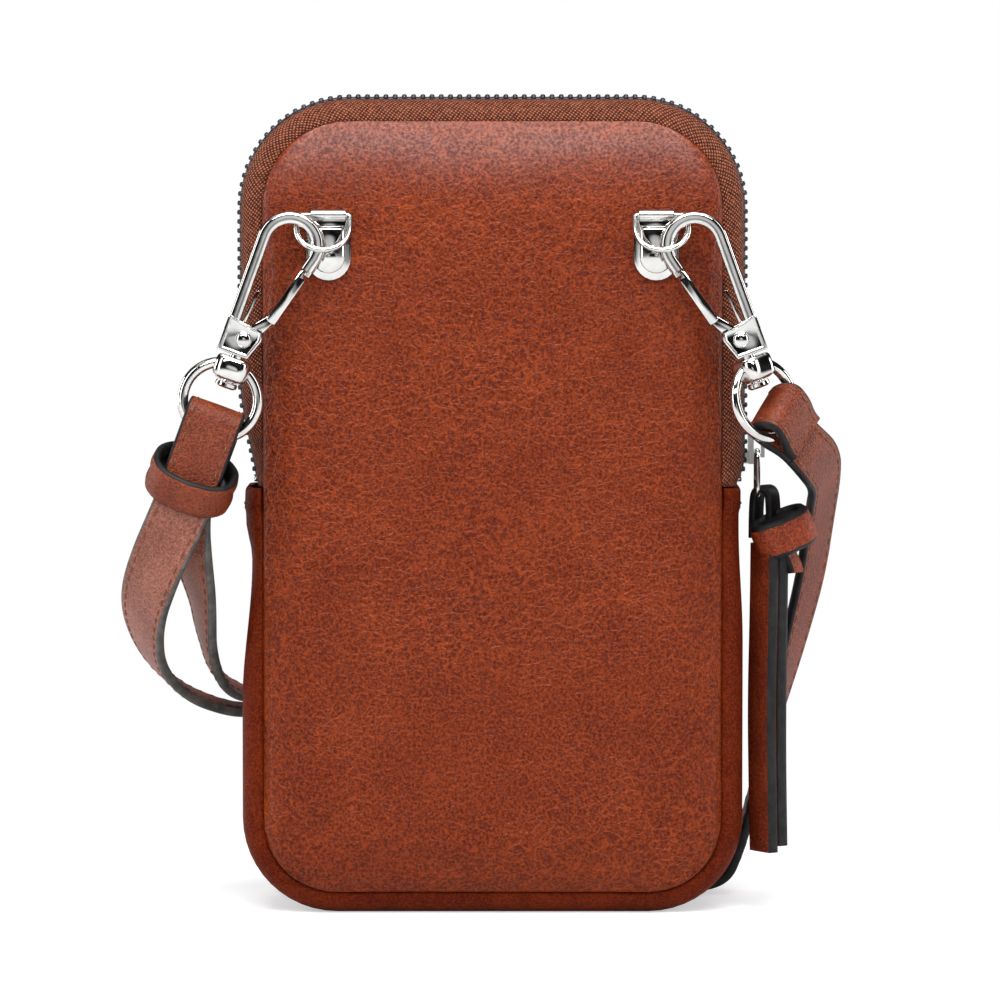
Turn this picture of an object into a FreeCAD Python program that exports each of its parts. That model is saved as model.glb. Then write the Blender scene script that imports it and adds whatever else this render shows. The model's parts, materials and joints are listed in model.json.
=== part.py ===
import FreeCAD, Part
import math
import os

# A zipped leather phone pouch with a shoulder strap on two snap hooks.
# Millimetres. +Z is up, +X is right as seen from the hook side, +Y is away from the hook side.
# The origin is the middle of the base, on the surface that the pouch stands on.

# Pouch shell
panel_half_width = 52.0
panel_height = 175.0
top_corner_radius = 19.5
base_corner_radius = 16.5
seam_half_depth = 13.0
gusset_bulge = 5.0
gusset_shoulder = 4.9
panel_crown = 4.0
panel_edge_round = 3.8
leather = 1.4
pad_gap = 0.2
pad_round = 2.0
pad_floor = 0.6
lining = 0.5
lining_gap = 0.2
hem_level = 97.0
hem_height = 5.0
hem_proud = 0.55
hem_gap = 0.05
hinge_rise = 13.0
hinge_gap = 0.4
overrun = 30.0
tiny = 1e-6
arc_slack_share = 1 - math.sqrt(0.5)

# Zip
tape = 0.8
tape_slot = 1.0
tape_hem_gap = 0.4
tooth_pitch = 2.5
tooth_share = 0.56
tooth_gap = 0.05
tooth_root = 0.45
tooth_tip = 1.15
tooth_inner = 0.9
tooth_outer = 3.4
stop_length = 2.4
stop_clearance = 0.3
slider_rise = 9.0
slider_length = 8.0
slider_width = 7.0
slider_plate = 1.1
slider_clearance = 0.35
slider_neck = 1.0
slider_neck_length = 3.0
bridge_length = 5.2
bridge_width = 1.8
bridge_bar = 0.8
bridge_window = 1.8

# Zip pull
link_wire = 0.6
link_half_width = 3.6
link_height = 10.0
link_seat = 0.1
link_bend_share = 0.5
loop_width = 4.6
loop_leather = 1.2
loop_slack = 0.2
loop_drop = 9.0
knot_width = 13.6
knot_depth = 11.0
knot_height = 13.5
knot_round = 3.6
knot_tilt = 13.0
knot_offset = 5.3
tail_width = 8.0
tail_leather = 2.3
tail_gap = 0.2
tail_length = 66.0
tail_step = 1.4
tail_turn = 34.0
tail_lean = 3.1
tail_back = 4.4

# Hangers and D-rings
hanger_inset = 15.1
hanger_width = 10.2
hanger_plate = 1.0
barrel_drop = 21.1
barrel_radius = 1.25
barrel_length = 8.0
barrel_lift = 0.1
plate_drop = 14.8
rivet_drop = 9.2
rivet_radius = 1.25
rivet_clearance = 0.05
dome_radius = 3.2
dome_height = 1.3
washer_radius = 4.4
washer = 0.8
dring_wire = 0.6
running_clearance = 0.05
dring_half_width = 6.0
dring_corner = 0.8
dring_depth = 9.8
dring_droop = 52.0
dring_shift = 1.1

# Snap hooks: places along a hook are shares of its length, from the collar up
hook_plane = -22.0
hook_tilt = 20.0
hook_length = 40.0
hook_bar = 1.3
leg_share = 0.0825
bow_share = 0.155
bow_level_share = 0.775
nose_share = 0.09
nose_turn = 14.8
hang_shares = (0.08625, 0.8375)
hang_lift = 0.07
gate_gap = 0.8
block_half_depth = 2.2
block_cheek = 0.28
block_shares = [(0.075, 0.085), (0.14, 0.235), (0.11, 0.3), (-0.04, 0.315)]
gate_pin_shares = (0.0075, 0.19)
gate_pin_radius = 0.95
gate_head_radius = 1.9
gate_head = 0.5
gate_slot_half = 0.85
gate_slot_gap = 0.1
gate_slot_floor = 1.4
gate_slot_over = 0.4
tongue_half = 0.7
tongue_gap = 0.1
gate_half_width = 1.2
gate_foot_share = 0.3275
leaf_shares = (-0.0275, -0.01375)
leaf_height_share = 0.16
leaf_thickness = 0.6
leaf_half_width = 0.8
leaf_seat = 0.05
post_radius = 1.5
post_head_radius = 2.5
post_head = 1.4
boss_radius = 3.6
boss_height = 5.4
boss_gap = 0.3
boss_round = 0.9
ring_radius = 8.5
ring_wire = 1.25
ring_drop = 7.0
right_ring_turn = -40.0
right_strap_swing = 30.0

# Strap
strap_width = 13.0
strap_thickness = 2.2
fold_inner = 2.6
ring_seat = 0.2
layer_end = 31.0
sewn_start = 21.6
sewn_end = 24.6
sewn_layer_end = 25.0
lead_length = 3.6
run_share = 0.45
keeper_height = 6.0
keeper_level = 26.0
keeper_play = 0.5
keeper_leather = 1.7
hank_runs = 7
hank_half_length = 46.0
hank_pitch = 7.2
hank_floor = 0.9
hank_gap = 1.4
tie_width = 9.0
tie_thickness = 0.6
tie_gap = 0.2
layer_gap = 0.3
stud_x = 43.0
stud_post = 1.5
stud_hole_gap = 0.15
stud_base_radius = 3.5
stud_base = 0.8
stud_ball = 2.6
arc_steps = 5
gap_points = 24

# Where the strap's free stretches run: how far outside the gusset, depth, level, and which way
# the strap's width points there.
right_leg_route = [
    (18.6, -6.0, 101.2, (0.42, 0.66, 0.62)),
    (19.4, 4.6, 95.2, (0.36, 0.84, 0.4)),
    (19.2, 12.6, 86.4, (0.22, 0.95, 0.2)),
    (17.6, 18.4, 74.5, (0.1, 0.99, 0.08)),
    (14.0, 22.4, 60.0, (0.05, 1.0, 0.0)),
    (9.0, 24.6, 42.0, (0.0, 1.0, 0.0)),
    (4.2, 24.9, 24.0, (0.0, 1.0, 0.0)),
    (0.6, 24.9, 10.0, (0.0, 1.0, 0.0)),
]
left_inner_route = [
    (11.3, -14.5, 81.5, (0.85, -0.5, 0.0)),
    (9.6, -5.0, 70.5, (0.55, -0.83, 0.0)),
    (9.8, 6.0, 60.0, (0.25, -0.97, 0.0)),
    (6.5, 17.0, 50.8, (0.08, -1.0, 0.0)),
    (0.4, 23.6, 46.6, (0.0, -1.0, 0.0)),
]
tail_route = [
    (19.0, -22.0, 80.0, (0.9, -0.42, -0.1)),
    (23.0, -11.5, 68.5, (0.6, -0.8, 0.0)),
    (22.0, 2.0, 57.5, (0.25, -0.97, 0.0)),
    (15.5, 14.0, 48.6, (0.08, -1.0, 0.0)),
    (5.8, 22.5, 43.6, (0.0, -1.0, 0.0)),
]
right_landing_x = 53.6
left_landing_x = -51.6
tail_landing_x = -54.4
tail_end_x = -37.6

base_level = gusset_bulge
crest_half_width = panel_half_width + gusset_bulge
panel_face = seam_half_depth + panel_crown
top_level = base_level + panel_height
hanger_offset = panel_half_width - hanger_inset
barrel_level = top_level - barrel_drop
hinge_level = hem_level + hinge_rise
slider_level = hem_level + slider_rise
across = FreeCAD.Vector(1, 0, 0)
depth = FreeCAD.Vector(0, 1, 0)
up = FreeCAD.Vector(0, 0, 1)
centre = FreeCAD.Vector(0, 0, 0)


def point(x, y, z):
    return FreeCAD.Vector(x, y, z)


def line(start, end):
    return Part.LineSegment(start, end).toShape()


def arc(start, middle, end):
    return Part.Arc(start, middle, end).toShape()


os.makedirs("parts", exist_ok=True)


def save(shape, node):
    shape.exportStep("parts/" + node + ".step")


# A rounded upright outline, a step outside or inside the panel's seam
def outline(step, y):
    half = panel_half_width + step
    low = base_level - step
    high = top_level + step
    low_radius = base_corner_radius + step
    high_radius = top_corner_radius + step
    edges = []
    low_slack = low_radius * arc_slack_share
    high_slack = high_radius * arc_slack_share
    edges.append(line(point(low_radius - half, y, low), point(half - low_radius, y, low)))
    edges.append(arc(point(half - low_radius, y, low), point(half - low_slack, y, low + low_slack),
                     point(half, y, low + low_radius)))
    edges.append(line(point(half, y, low + low_radius), point(half, y, high - high_radius)))
    edges.append(arc(point(half, y, high - high_radius), point(half - high_slack, y, high - high_slack),
                     point(half - high_radius, y, high)))
    edges.append(line(point(half - high_radius, y, high), point(high_radius - half, y, high)))
    edges.append(arc(point(high_radius - half, y, high), point(high_slack - half, y, high - high_slack),
                     point(-half, y, high - high_radius)))
    edges.append(line(point(-half, y, high - high_radius), point(-half, y, low + low_radius)))
    edges.append(arc(point(-half, y, low + low_radius), point(low_slack - half, y, low + low_slack),
                     point(low_radius - half, y, low)))
    return Part.Wire(edges)


def slab(step, y_from, y_to):
    return Part.Face(outline(step, y_from)).extrude(depth * (y_to - y_from))


# A slab whose edges at the depths listed are rounded over
def soft_slab(step, y_from, y_to, radius, round_at):
    solid = slab(step, y_from, y_to)
    edges = []
    for edge in solid.Edges:
        for y in round_at:
            if abs(edge.BoundBox.YMin - y) < tiny and abs(edge.BoundBox.YMax - y) < tiny:
                edges.append(edge)
    return solid.makeFillet(radius, edges)


def box(x_from, x_to, y_from, y_to, z_from, z_to):
    return Part.makeBox(x_to - x_from, y_to - y_from, z_to - z_from, point(x_from, y_from, z_from))


# Everything between two levels
def between(z_from, z_to):
    reach = crest_half_width + overrun
    return box(-reach, reach, -reach, reach, z_from, z_to)


def prism(corners, y_from, y_to):
    ring = [point(x, y_from, z) for x, z in corners]
    return Part.Face(Part.makePolygon(ring + ring[:1])).extrude(depth * (y_to - y_from))


def rod(radius, start, end):
    run = end - start
    return Part.makeCylinder(radius, run.Length, start, run)


def to_front(shape):
    return shape.mirror(centre, depth)


def to_right(shape):
    return shape.mirror(centre, across)


# A round wire bent along edges that join smoothly
def bent_wire(radius, edges):
    first = edges[0]
    ring = Part.makeCircle(radius, first.valueAt(first.FirstParameter), first.tangentAt(first.FirstParameter))
    return Part.Wire(edges).makePipeShell([Part.Wire(ring)], True, False)


# Panels

def panel_shell():
    outer = soft_slab(0, -seam_half_depth, -panel_face, panel_edge_round, [-panel_face])
    face = leather - panel_face
    hollow = soft_slab(-leather, -seam_half_depth, face, panel_edge_round - leather, [face])
    return outer.cut(hollow)


def panel_pad():
    step = leather + pad_gap
    face = step - panel_face
    return soft_slab(-step, pad_floor - seam_half_depth, face, pad_round, [face])


def panel_lining():
    start = pad_floor + pad_gap - seam_half_depth
    return slab(-lining_gap, start, start + lining)


lining_inner = seam_half_depth - pad_floor - pad_gap - lining
rivet_level = barrel_level - rivet_drop
rivet_hole = rivet_radius + rivet_clearance


def hanger_holes(shape):
    for side in (-1, 1):
        start = point(side * hanger_offset, -panel_face - overrun, rivet_level)
        shape = shape.cut(rod(rivet_hole, start, start + depth * (panel_face + overrun)))
    return shape


save(hanger_holes(panel_shell()), "back_panel")
save(hanger_holes(panel_pad()), "back_pad")
save(hanger_holes(panel_lining()), "back_lining")

below_hinge = between(-overrun, hinge_level)
above_hinge = between(hinge_level + hinge_gap, top_level + overrun)
front_shell = to_front(panel_shell())
front_pad = to_front(panel_pad())
front_lining = to_front(panel_lining())
save(front_shell.common(below_hinge), "front_lower_panel")
save(front_pad.common(below_hinge), "front_lower_pad")
save(front_lining.common(below_hinge), "front_lower_lining")
save(front_shell.common(above_hinge), "flap_panel")
save(front_pad.common(above_hinge), "flap_pad")
save(front_lining.common(above_hinge), "flap_lining")


# Gusset: a rounded band all round, with its wall inside it

def band(step, wall, half_depth, shoulder):
    ends = [-half_depth, half_depth]
    outer = soft_slab(step, -half_depth, half_depth, shoulder, ends)
    inner_half = half_depth - wall
    inner = soft_slab(step - wall, -inner_half, inner_half, shoulder - wall, [-inner_half, inner_half])
    return outer.cut(inner).cut(slab(0, -half_depth - overrun, half_depth + overrun))


below_hem = between(-overrun, hem_level)
save(band(gusset_bulge, leather, seam_half_depth, gusset_shoulder).common(below_hem), "lower_gusset")

lining_step = gusset_bulge - leather - lining_gap
lining_half = seam_half_depth - leather - lining_gap
lining_shoulder = gusset_shoulder - leather - lining_gap
gusset_lining = band(lining_step, lining, lining_half, lining_shoulder).common(below_hem)
save(gusset_lining.cut(slab(lining_gap, -overrun, overrun)), "gusset_lining")

hem_step = gusset_bulge + hem_proud
hem_half = seam_half_depth - hem_proud
hem_band = band(hem_step, hem_proud - hem_gap, hem_half, gusset_shoulder)
hem_band = hem_band.common(between(hem_level - hem_height, hem_level))
reach = crest_half_width + overrun
hem_band = hem_band.cut(slab(gusset_bulge + hem_gap, -overrun, overrun))
save(hem_band.common(box(-reach, 0, -overrun, overrun, 0, top_level)), "gusset_hem_left")
save(hem_band.common(box(0, reach, -overrun, overrun, 0, top_level)), "gusset_hem_right")

# Zip tapes
tape_band = band(gusset_bulge, tape, seam_half_depth, gusset_shoulder)
tape_band = tape_band.common(between(hem_level + tape_hem_gap, top_level + overrun))
save(tape_band.common(box(-reach, reach, -overrun, -tape_slot, 0, top_level + overrun)), "zip_tape_back")
front_tape = tape_band.common(box(-reach, reach, tape_slot, overrun, 0, top_level + overrun))
save(front_tape.common(above_hinge), "zip_tape_front")
save(front_tape.common(below_hinge), "zip_tape_front_ends")


# Zip teeth: a comb that follows the crest from one end stop to the other
crest_radius = top_corner_radius + gusset_bulge
corner_level = top_level - top_corner_radius
corner_x = panel_half_width - top_corner_radius


def crest_point(travel, lift, start_level, y):
    side = corner_level - start_level
    corner = crest_radius * math.pi / 2
    flat = corner_x * 2
    if travel < side:
        return point(-crest_half_width - lift, y, start_level + travel)
    travel = travel - side
    if travel < corner:
        turn = travel / crest_radius
        reach_out = crest_radius + lift
        return point(-corner_x - reach_out * math.cos(turn), y, corner_level + reach_out * math.sin(turn))
    travel = travel - corner
    if travel < flat:
        return point(travel - corner_x, y, corner_level + crest_radius + lift)
    travel = travel - flat
    if travel < corner:
        turn = travel / crest_radius
        reach_out = crest_radius + lift
        return point(corner_x + reach_out * math.sin(turn), y, corner_level + reach_out * math.cos(turn))
    return point(crest_half_width + lift, y, corner_level - (travel - corner))


def tooth_comb(start_level, y_from, y_to):
    length = (corner_level - start_level) * 2 + crest_radius * math.pi + corner_x * 2
    count = int(length / tooth_pitch)
    pitch = length / count
    spots = []
    for tooth in range(count):
        start = tooth * pitch
        end = start + pitch * tooth_share
        spots.append(crest_point(start, tooth_root, start_level, y_from))
        spots.append(crest_point(start, tooth_tip, start_level, y_from))
        spots.append(crest_point(end, tooth_tip, start_level, y_from))
        spots.append(crest_point(end, tooth_root, start_level, y_from))
    edges = []
    last = crest_point(length, tooth_root, start_level, y_from)
    for first, second in zip(spots, spots[1:] + [last]):
        edges.append(line(first, second))
    lift = tooth_gap
    side = corner_level - start_level
    corner = crest_radius * math.pi / 2
    marks = [length, length - side, length - side - corner / 2, length - side - corner]
    marks = marks + [side + corner, side + corner / 2, side, 0]
    inner = [crest_point(mark, lift, start_level, y_from) for mark in marks]
    edges.append(line(last, inner[0]))
    edges.append(line(inner[0], inner[1]))
    edges.append(arc(inner[1], inner[2], inner[3]))
    edges.append(line(inner[3], inner[4]))
    edges.append(arc(inner[4], inner[5], inner[6]))
    edges.append(line(inner[6], inner[7]))
    edges.append(line(inner[7], spots[0]))
    return Part.Face(Part.Wire(edges)).extrude(depth * (y_to - y_from))


chain_start = hem_level + tape_hem_gap + stop_length + stop_clearance
save(tooth_comb(chain_start, -tooth_outer, -tooth_inner), "zip_teeth_back")
front_comb = tooth_comb(chain_start, tooth_inner, tooth_outer)
save(front_comb.common(above_hinge), "zip_teeth_front")
save(front_comb.common(below_hinge), "zip_teeth_front_ends")

# Zip end stops, one across the chain at each lower end
stop_low = hem_level + tape_hem_gap
stop_x = crest_half_width + tooth_gap
stop = box(stop_x, stop_x + tooth_tip, -tooth_outer, tooth_outer, stop_low, stop_low + stop_length)
save(Part.makeCompound([stop, to_right(stop)]), "zip_end_stops")

# Zip slider on the right run
inner_face = crest_half_width - tape - slider_clearance
outer_face = crest_half_width + tooth_tip + slider_clearance
slider_low = slider_level - slider_length / 2
slider_half = slider_width / 2
neck_half = slider_neck / 2
slider = box(inner_face - slider_plate, inner_face, -slider_half, slider_half, slider_low,
             slider_low + slider_length)
slider_top = outer_face + slider_plate
slider = slider.fuse(box(outer_face, slider_top, -slider_half, slider_half, slider_low,
                         slider_low + slider_length))
slider = slider.fuse(box(inner_face, outer_face, -neck_half, neck_half, slider_low,
                         slider_low + slider_neck_length))
bridge_half = bridge_width / 2
bridge_low = slider_level - bridge_length / 2
bridge = box(slider_top, slider_top + bridge_window + bridge_bar, -bridge_half, bridge_half, bridge_low,
             bridge_low + bridge_length)
window_low = bridge_low + bridge_bar
window = box(slider_top, slider_top + bridge_window, -overrun, overrun, window_low,
             bridge_low + bridge_length - bridge_bar)
save(slider.fuse(bridge.cut(window)).removeSplitter(), "zip_slider")

# Wire link through the slider's bridge
link_x = slider_top + bridge_window / 2
link_top = window_low + link_seat + link_wire
link_low = link_top - link_height
link_bend = link_half_width * link_bend_share
link_slack = link_bend * arc_slack_share


def link_edges():
    edges = []
    low_half = link_half_width - link_bend
    corners = [(1, 1), (1, -1), (-1, -1), (-1, 1)]
    spots = []
    for side, rise in corners:
        level = link_top if rise > 0 else link_low
        first = point(link_x, side * low_half, level)
        middle = point(link_x, side * (link_half_width - link_slack), level - rise * link_slack)
        last = point(link_x, side * link_half_width, level - rise * link_bend)
        if side * rise < 0:
            first, last = last, first
        spots.append((first, middle, last))
    for index, (first, middle, last) in enumerate(spots):
        edges.append(arc(first, middle, last))
        following = spots[(index + 1) % len(spots)]
        edges.append(line(last, following[0]))
    return edges


save(bent_wire(link_wire, link_edges()), "pull_link")

# Tassel: a leather loop through the link, a knot round it, and two tails
loop_inner = link_wire + loop_slack
loop_outer = loop_inner + loop_leather
loop_half = loop_width / 2


def upright_loop():
    axis_start = point(link_x, -loop_half, link_low)
    axis_end = point(link_x, loop_half, link_low)
    legs = box(link_x - loop_outer, link_x + loop_outer, -loop_half, loop_half, link_low - loop_drop, link_low)
    gap = box(link_x - loop_inner, link_x + loop_inner, -overrun, overrun, link_low - overrun, link_low)
    hole = rod(loop_inner, axis_start - depth * overrun, axis_end + depth * overrun)
    return rod(loop_outer, axis_start, axis_end).fuse(legs).cut(gap).cut(hole).removeSplitter()


knot_top = link_low - loop_outer
knot_x = link_x + knot_offset
knot_low = knot_top - knot_height
knot_half = knot_width / 2
knot = box(knot_x - knot_half, knot_x + knot_half, -knot_depth / 2, knot_depth / 2, knot_low, knot_top)
knot = knot.makeFillet(knot_round, knot.Edges)
knot_middle = point(knot_x, 0, (knot_low + knot_top) / 2)
knot.rotate(knot_middle, depth, -knot_tilt)
knot.translate(depth * -tail_back)
save(upright_loop().cut(knot), "tassel_loop")
save(knot, "tassel_knot")


def tail(inner, outer, length):
    half = tail_width / 2
    strip = box(inner, outer, -half, half, knot_low - length, knot_low + knot_round)
    strip.rotate(centre, up, tail_turn)
    strip.translate(point(knot_x - tail_lean, -tail_back, 0))
    return strip.cut(knot)


save(tail(-tail_leather - tail_gap / 2, -tail_gap / 2, tail_length), "tassel_tail_front")
save(tail(tail_gap / 2, tail_leather + tail_gap / 2, tail_length - tail_step), "tassel_tail_rear")

# Hanger plates with a rolled barrel for the D-ring's bar
barrel_y = -panel_face - barrel_radius - barrel_lift
plate_half = hanger_width / 2
plate_low = barrel_level - plate_drop
plate_round = plate_low + plate_half


def hanger(x):
    corners = box(x - plate_half, x + plate_half, -panel_face - hanger_plate, -panel_face, plate_round,
                  barrel_level)
    foot = rod(plate_half, point(x, -panel_face - hanger_plate, plate_round), point(x, -panel_face, plate_round))
    start = point(x - barrel_length / 2, barrel_y, barrel_level)
    end = point(x + barrel_length / 2, barrel_y, barrel_level)
    plate = corners.fuse(foot).cut(box(x - plate_half, x + plate_half, -panel_face - overrun, 0,
                                       barrel_level, barrel_level + overrun))
    plate = plate.fuse(rod(barrel_radius, start, end))
    bore = dring_wire + running_clearance
    plate = plate.cut(rod(bore, start - across * overrun, end + across * overrun))
    hole = point(x, -panel_face - overrun, rivet_level)
    return plate.cut(rod(rivet_hole, hole, hole + depth * (overrun * 2))).removeSplitter()


save(hanger(-hanger_offset), "hanger_left")
save(hanger(hanger_offset), "hanger_right")

dome_ball = (dome_radius ** 2 + dome_height ** 2) / (dome_height * 2)
washer_end = -lining_inner + washer


def hanger_rivet(x):
    seat = -panel_face - hanger_plate
    ball = Part.makeSphere(dome_ball, point(x, seat + dome_ball - dome_height, rivet_level))
    dome = ball.common(rod(dome_ball, point(x, seat - dome_ball, rivet_level), point(x, seat, rivet_level)))
    return dome.fuse(rod(rivet_radius, point(x, seat, rivet_level), point(x, washer_end, rivet_level)))


def hanger_washer(x):
    disc = rod(washer_radius, point(x, -lining_inner, rivet_level), point(x, washer_end, rivet_level))
    hole = point(x, -overrun, rivet_level)
    return disc.cut(rod(rivet_hole, hole, hole + depth * overrun))


save(Part.makeCompound([hanger_rivet(-hanger_offset), hanger_rivet(hanger_offset)]), "hanger_rivets")
save(Part.makeCompound([hanger_washer(-hanger_offset), hanger_washer(hanger_offset)]), "hanger_washers")


# D-ring, built flat from its bar and then drooped about the bar
def dring():
    half = dring_half_width
    inner = half - dring_corner
    slack = dring_corner * arc_slack_share
    leg_end = dring_depth - half
    flat = [(-inner, 0), (inner, 0), (half - slack, slack), (half, dring_corner), (half, leg_end)]
    flat = flat + [(0, dring_depth), (-half, leg_end), (-half, dring_corner), (slack - half, slack)]
    spots = [point(x, -y, 0) for x, y in flat]
    edges = [line(spots[0], spots[1]), arc(spots[1], spots[2], spots[3]), line(spots[3], spots[4])]
    edges = edges + [arc(spots[4], spots[5], spots[6]), line(spots[6], spots[7])]
    edges.append(arc(spots[7], spots[8], spots[0]))
    ring = bent_wire(dring_wire, edges)
    ring.rotate(centre, across, dring_droop)
    ring.translate(point(-hanger_offset - dring_shift, barrel_y, barrel_level))
    return ring


left_dring = dring()
save(left_dring, "left_dring")
save(to_right(left_dring), "right_dring")


# A hook hangs by its bow on the D-ring's outer side, which sets where its collar is
tilt_rad = math.radians(hook_tilt)
hang_x = hang_shares[0] * hook_length
hang_z = hang_shares[1] * hook_length
hang_level = barrel_level - (barrel_y - hook_plane) * math.tan(math.radians(dring_droop)) + hang_lift
dring_side = hanger_offset + dring_shift + dring_half_width
collar_x = dring_side + hang_x * math.cos(tilt_rad) + hang_z * math.sin(tilt_rad)
collar_z = hang_level + hang_x * math.sin(tilt_rad) - hang_z * math.cos(tilt_rad)
print("collar", round(collar_x, 2), round(collar_z, 2))


# Snap hook, built upright about its swivel axis with the collar at zero, then tilted into place
def place_left(shape):
    placed = shape.copy()
    placed.rotate(centre, depth, hook_tilt)
    placed.translate(point(-collar_x, hook_plane, collar_z))
    return placed


nose_turn_rad = math.radians(nose_turn)
hook_leg = leg_share * hook_length
hook_bow = bow_share * hook_length
hook_bow_level = bow_level_share * hook_length
nose_length = nose_share * hook_length
gate_pin_x = gate_pin_shares[0] * hook_length
gate_pin_z = gate_pin_shares[1] * hook_length
gate_foot_level = gate_foot_share * hook_length
bow_x = hook_bow - hook_leg
nose_x = bow_x + hook_bow * math.cos(nose_turn_rad)
nose_z = hook_bow_level - hook_bow * math.sin(nose_turn_rad)
nose_end_x = nose_x - nose_length * math.sin(nose_turn_rad)
nose_end_z = nose_z - nose_length * math.cos(nose_turn_rad)
block_left = -hook_leg - hook_bar - block_cheek
block_corners = [(x * hook_length, z * hook_length) for x, z in block_shares]
block_base = block_corners[0][1]
block_top = block_corners[-1][1]
slot_left = hook_bar - hook_leg + gate_slot_gap
tongue_radius = gate_pin_x - slot_left - tongue_gap


def hook():
    edges = [line(point(-hook_leg, 0, gate_pin_z), point(-hook_leg, 0, hook_bow_level))]
    edges.append(arc(point(-hook_leg, 0, hook_bow_level), point(bow_x, 0, hook_bow_level + hook_bow),
                     point(nose_x, 0, nose_z)))
    edges.append(line(point(nose_x, 0, nose_z), point(nose_end_x, 0, nose_end_z)))
    bow = bent_wire(hook_bar, edges)
    corners = [(block_left, block_base)] + block_corners + [(block_left, block_top)]
    block = prism(corners, -block_half_depth, block_half_depth)
    slot_low = block_base + gate_slot_floor
    slot = box(slot_left, hook_length, -gate_slot_half, gate_slot_half, slot_low, block_top + gate_slot_over)
    pin_hole = gate_pin_radius + running_clearance
    hole = rod(pin_hole, point(gate_pin_x, -overrun, gate_pin_z), point(gate_pin_x, overrun, gate_pin_z))
    body = block.fuse(bow).cut(slot).cut(hole)
    post_end = block_base - boss_gap * 2 - boss_height
    body = body.fuse(rod(post_radius, point(0, 0, block_base), point(0, 0, post_end)))
    head = rod(post_head_radius, point(0, 0, post_end), point(0, 0, post_end - post_head))
    return body.fuse(head).removeSplitter()


def gate():
    slope = math.tan(nose_turn_rad)
    tip_z = nose_end_z - gate_gap
    tip_x = nose_end_x - gate_gap * slope
    foot_z = gate_foot_level
    foot_x = tip_x - (tip_z - foot_z) * slope
    half = gate_half_width
    corners = [(tip_x - half, tip_z), (tip_x + half, tip_z), (foot_x + half, foot_z), (foot_x - half, foot_z)]
    bar = prism(corners, -half, half)
    root = [(gate_pin_x - tongue_radius, gate_pin_z), (gate_pin_x + tongue_radius, gate_pin_z)]
    root = root + [(foot_x + half, foot_z + half), (foot_x - half, foot_z + half)]
    tongue = prism(root, -tongue_half, tongue_half)
    pin_start = point(gate_pin_x, -tongue_half, gate_pin_z)
    tongue = tongue.fuse(rod(tongue_radius, pin_start, pin_start + depth * (tongue_half * 2)))
    hole = rod(gate_pin_radius + running_clearance, pin_start - depth * overrun, pin_start + depth * overrun)
    return bar.fuse(tongue).cut(hole).removeSplitter()


def gate_rivet():
    end = block_half_depth + gate_head
    pin = rod(gate_pin_radius, point(gate_pin_x, -end, gate_pin_z), point(gate_pin_x, end, gate_pin_z))
    for side in (-1, 1):
        start = point(gate_pin_x, side * block_half_depth, gate_pin_z)
        pin = pin.fuse(rod(gate_head_radius, start, start + depth * (side * gate_head)))
    return pin.removeSplitter()


def leaf_spring():
    low = block_top + leaf_seat
    leaf_height = leaf_height_share * hook_length
    leaf_base_x = leaf_shares[0] * hook_length
    leaf_tip_x = leaf_shares[1] * hook_length
    corners = [(leaf_base_x, low), (leaf_base_x + leaf_thickness, low)]
    corners = corners + [(leaf_tip_x + leaf_thickness, low + leaf_height), (leaf_tip_x, low + leaf_height)]
    return prism(corners, -leaf_half_width, leaf_half_width)


boss_top = block_base - boss_gap
boss_low = boss_top - boss_height


def swivel_ring(turn):
    ring = Part.makeTorus(ring_radius, ring_wire, point(0, 0, -ring_drop), depth)
    boss = rod(boss_radius, point(0, 0, boss_low), point(0, 0, boss_top))
    rims = [edge for edge in boss.Edges if edge.BoundBox.ZLength < tiny]
    boss = boss.makeFillet(boss_round, rims)
    bore = post_radius + running_clearance
    eye = ring.fuse(boss).cut(rod(bore, point(0, 0, -ring_drop), point(0, 0, overrun)))
    eye.rotate(centre, up, turn)
    return eye


hook_pieces = {"hook": hook(), "gate": gate(), "gate_rivet": gate_rivet(), "gate_spring": leaf_spring()}
for piece, shape in hook_pieces.items():
    placed = place_left(shape)
    save(placed, "left_" + piece)
    save(to_right(placed), "right_" + piece)
save(place_left(swivel_ring(0)), "left_swivel_ring")
save(to_right(place_left(swivel_ring(right_ring_turn))), "right_swivel_ring")


# Strap ends, folded over the swivel rings where their wire comes nearest to the strap's edges
strap_half = strap_width / 2
ring_dip = math.sqrt(ring_radius ** 2 - strap_half ** 2)
fold_top = ring_wire * ring_radius / ring_dip + ring_seat - ring_drop - ring_dip
fold_centre = fold_top - fold_inner
fold_outer = fold_inner + strap_thickness


def fold_cap():
    start = point(-strap_half, 0, fold_centre)
    cap = rod(fold_outer, start, start + across * strap_width)
    cap = cap.cut(box(-overrun, overrun, -overrun, overrun, fold_centre - overrun, fold_centre))
    return cap.cut(rod(fold_inner, start - across * overrun, start + across * overrun))


def fold_layer(corners):
    ring = [point(-strap_half, y, z) for y, z in corners]
    return Part.Face(Part.makePolygon(ring + ring[:1])).extrude(across * strap_width)


# Both layers hang straight down from the left fold
def left_end():
    front = [(-fold_outer, fold_centre), (-fold_outer, -layer_end), (-fold_inner, -layer_end)]
    front.append((-fold_inner, fold_centre))
    back = [(-y, z) for y, z in front]
    return fold_cap().fuse(fold_layer(front)).fuse(fold_layer(back)).removeSplitter()


# The right strap pulls outwards round its ring, and the ring is turned on its hook
def turn_right_end(shape):
    turned = shape.copy()
    turned.rotate(point(0, 0, -ring_drop), depth, right_strap_swing)
    turned.rotate(centre, up, right_ring_turn)
    return turned


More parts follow.
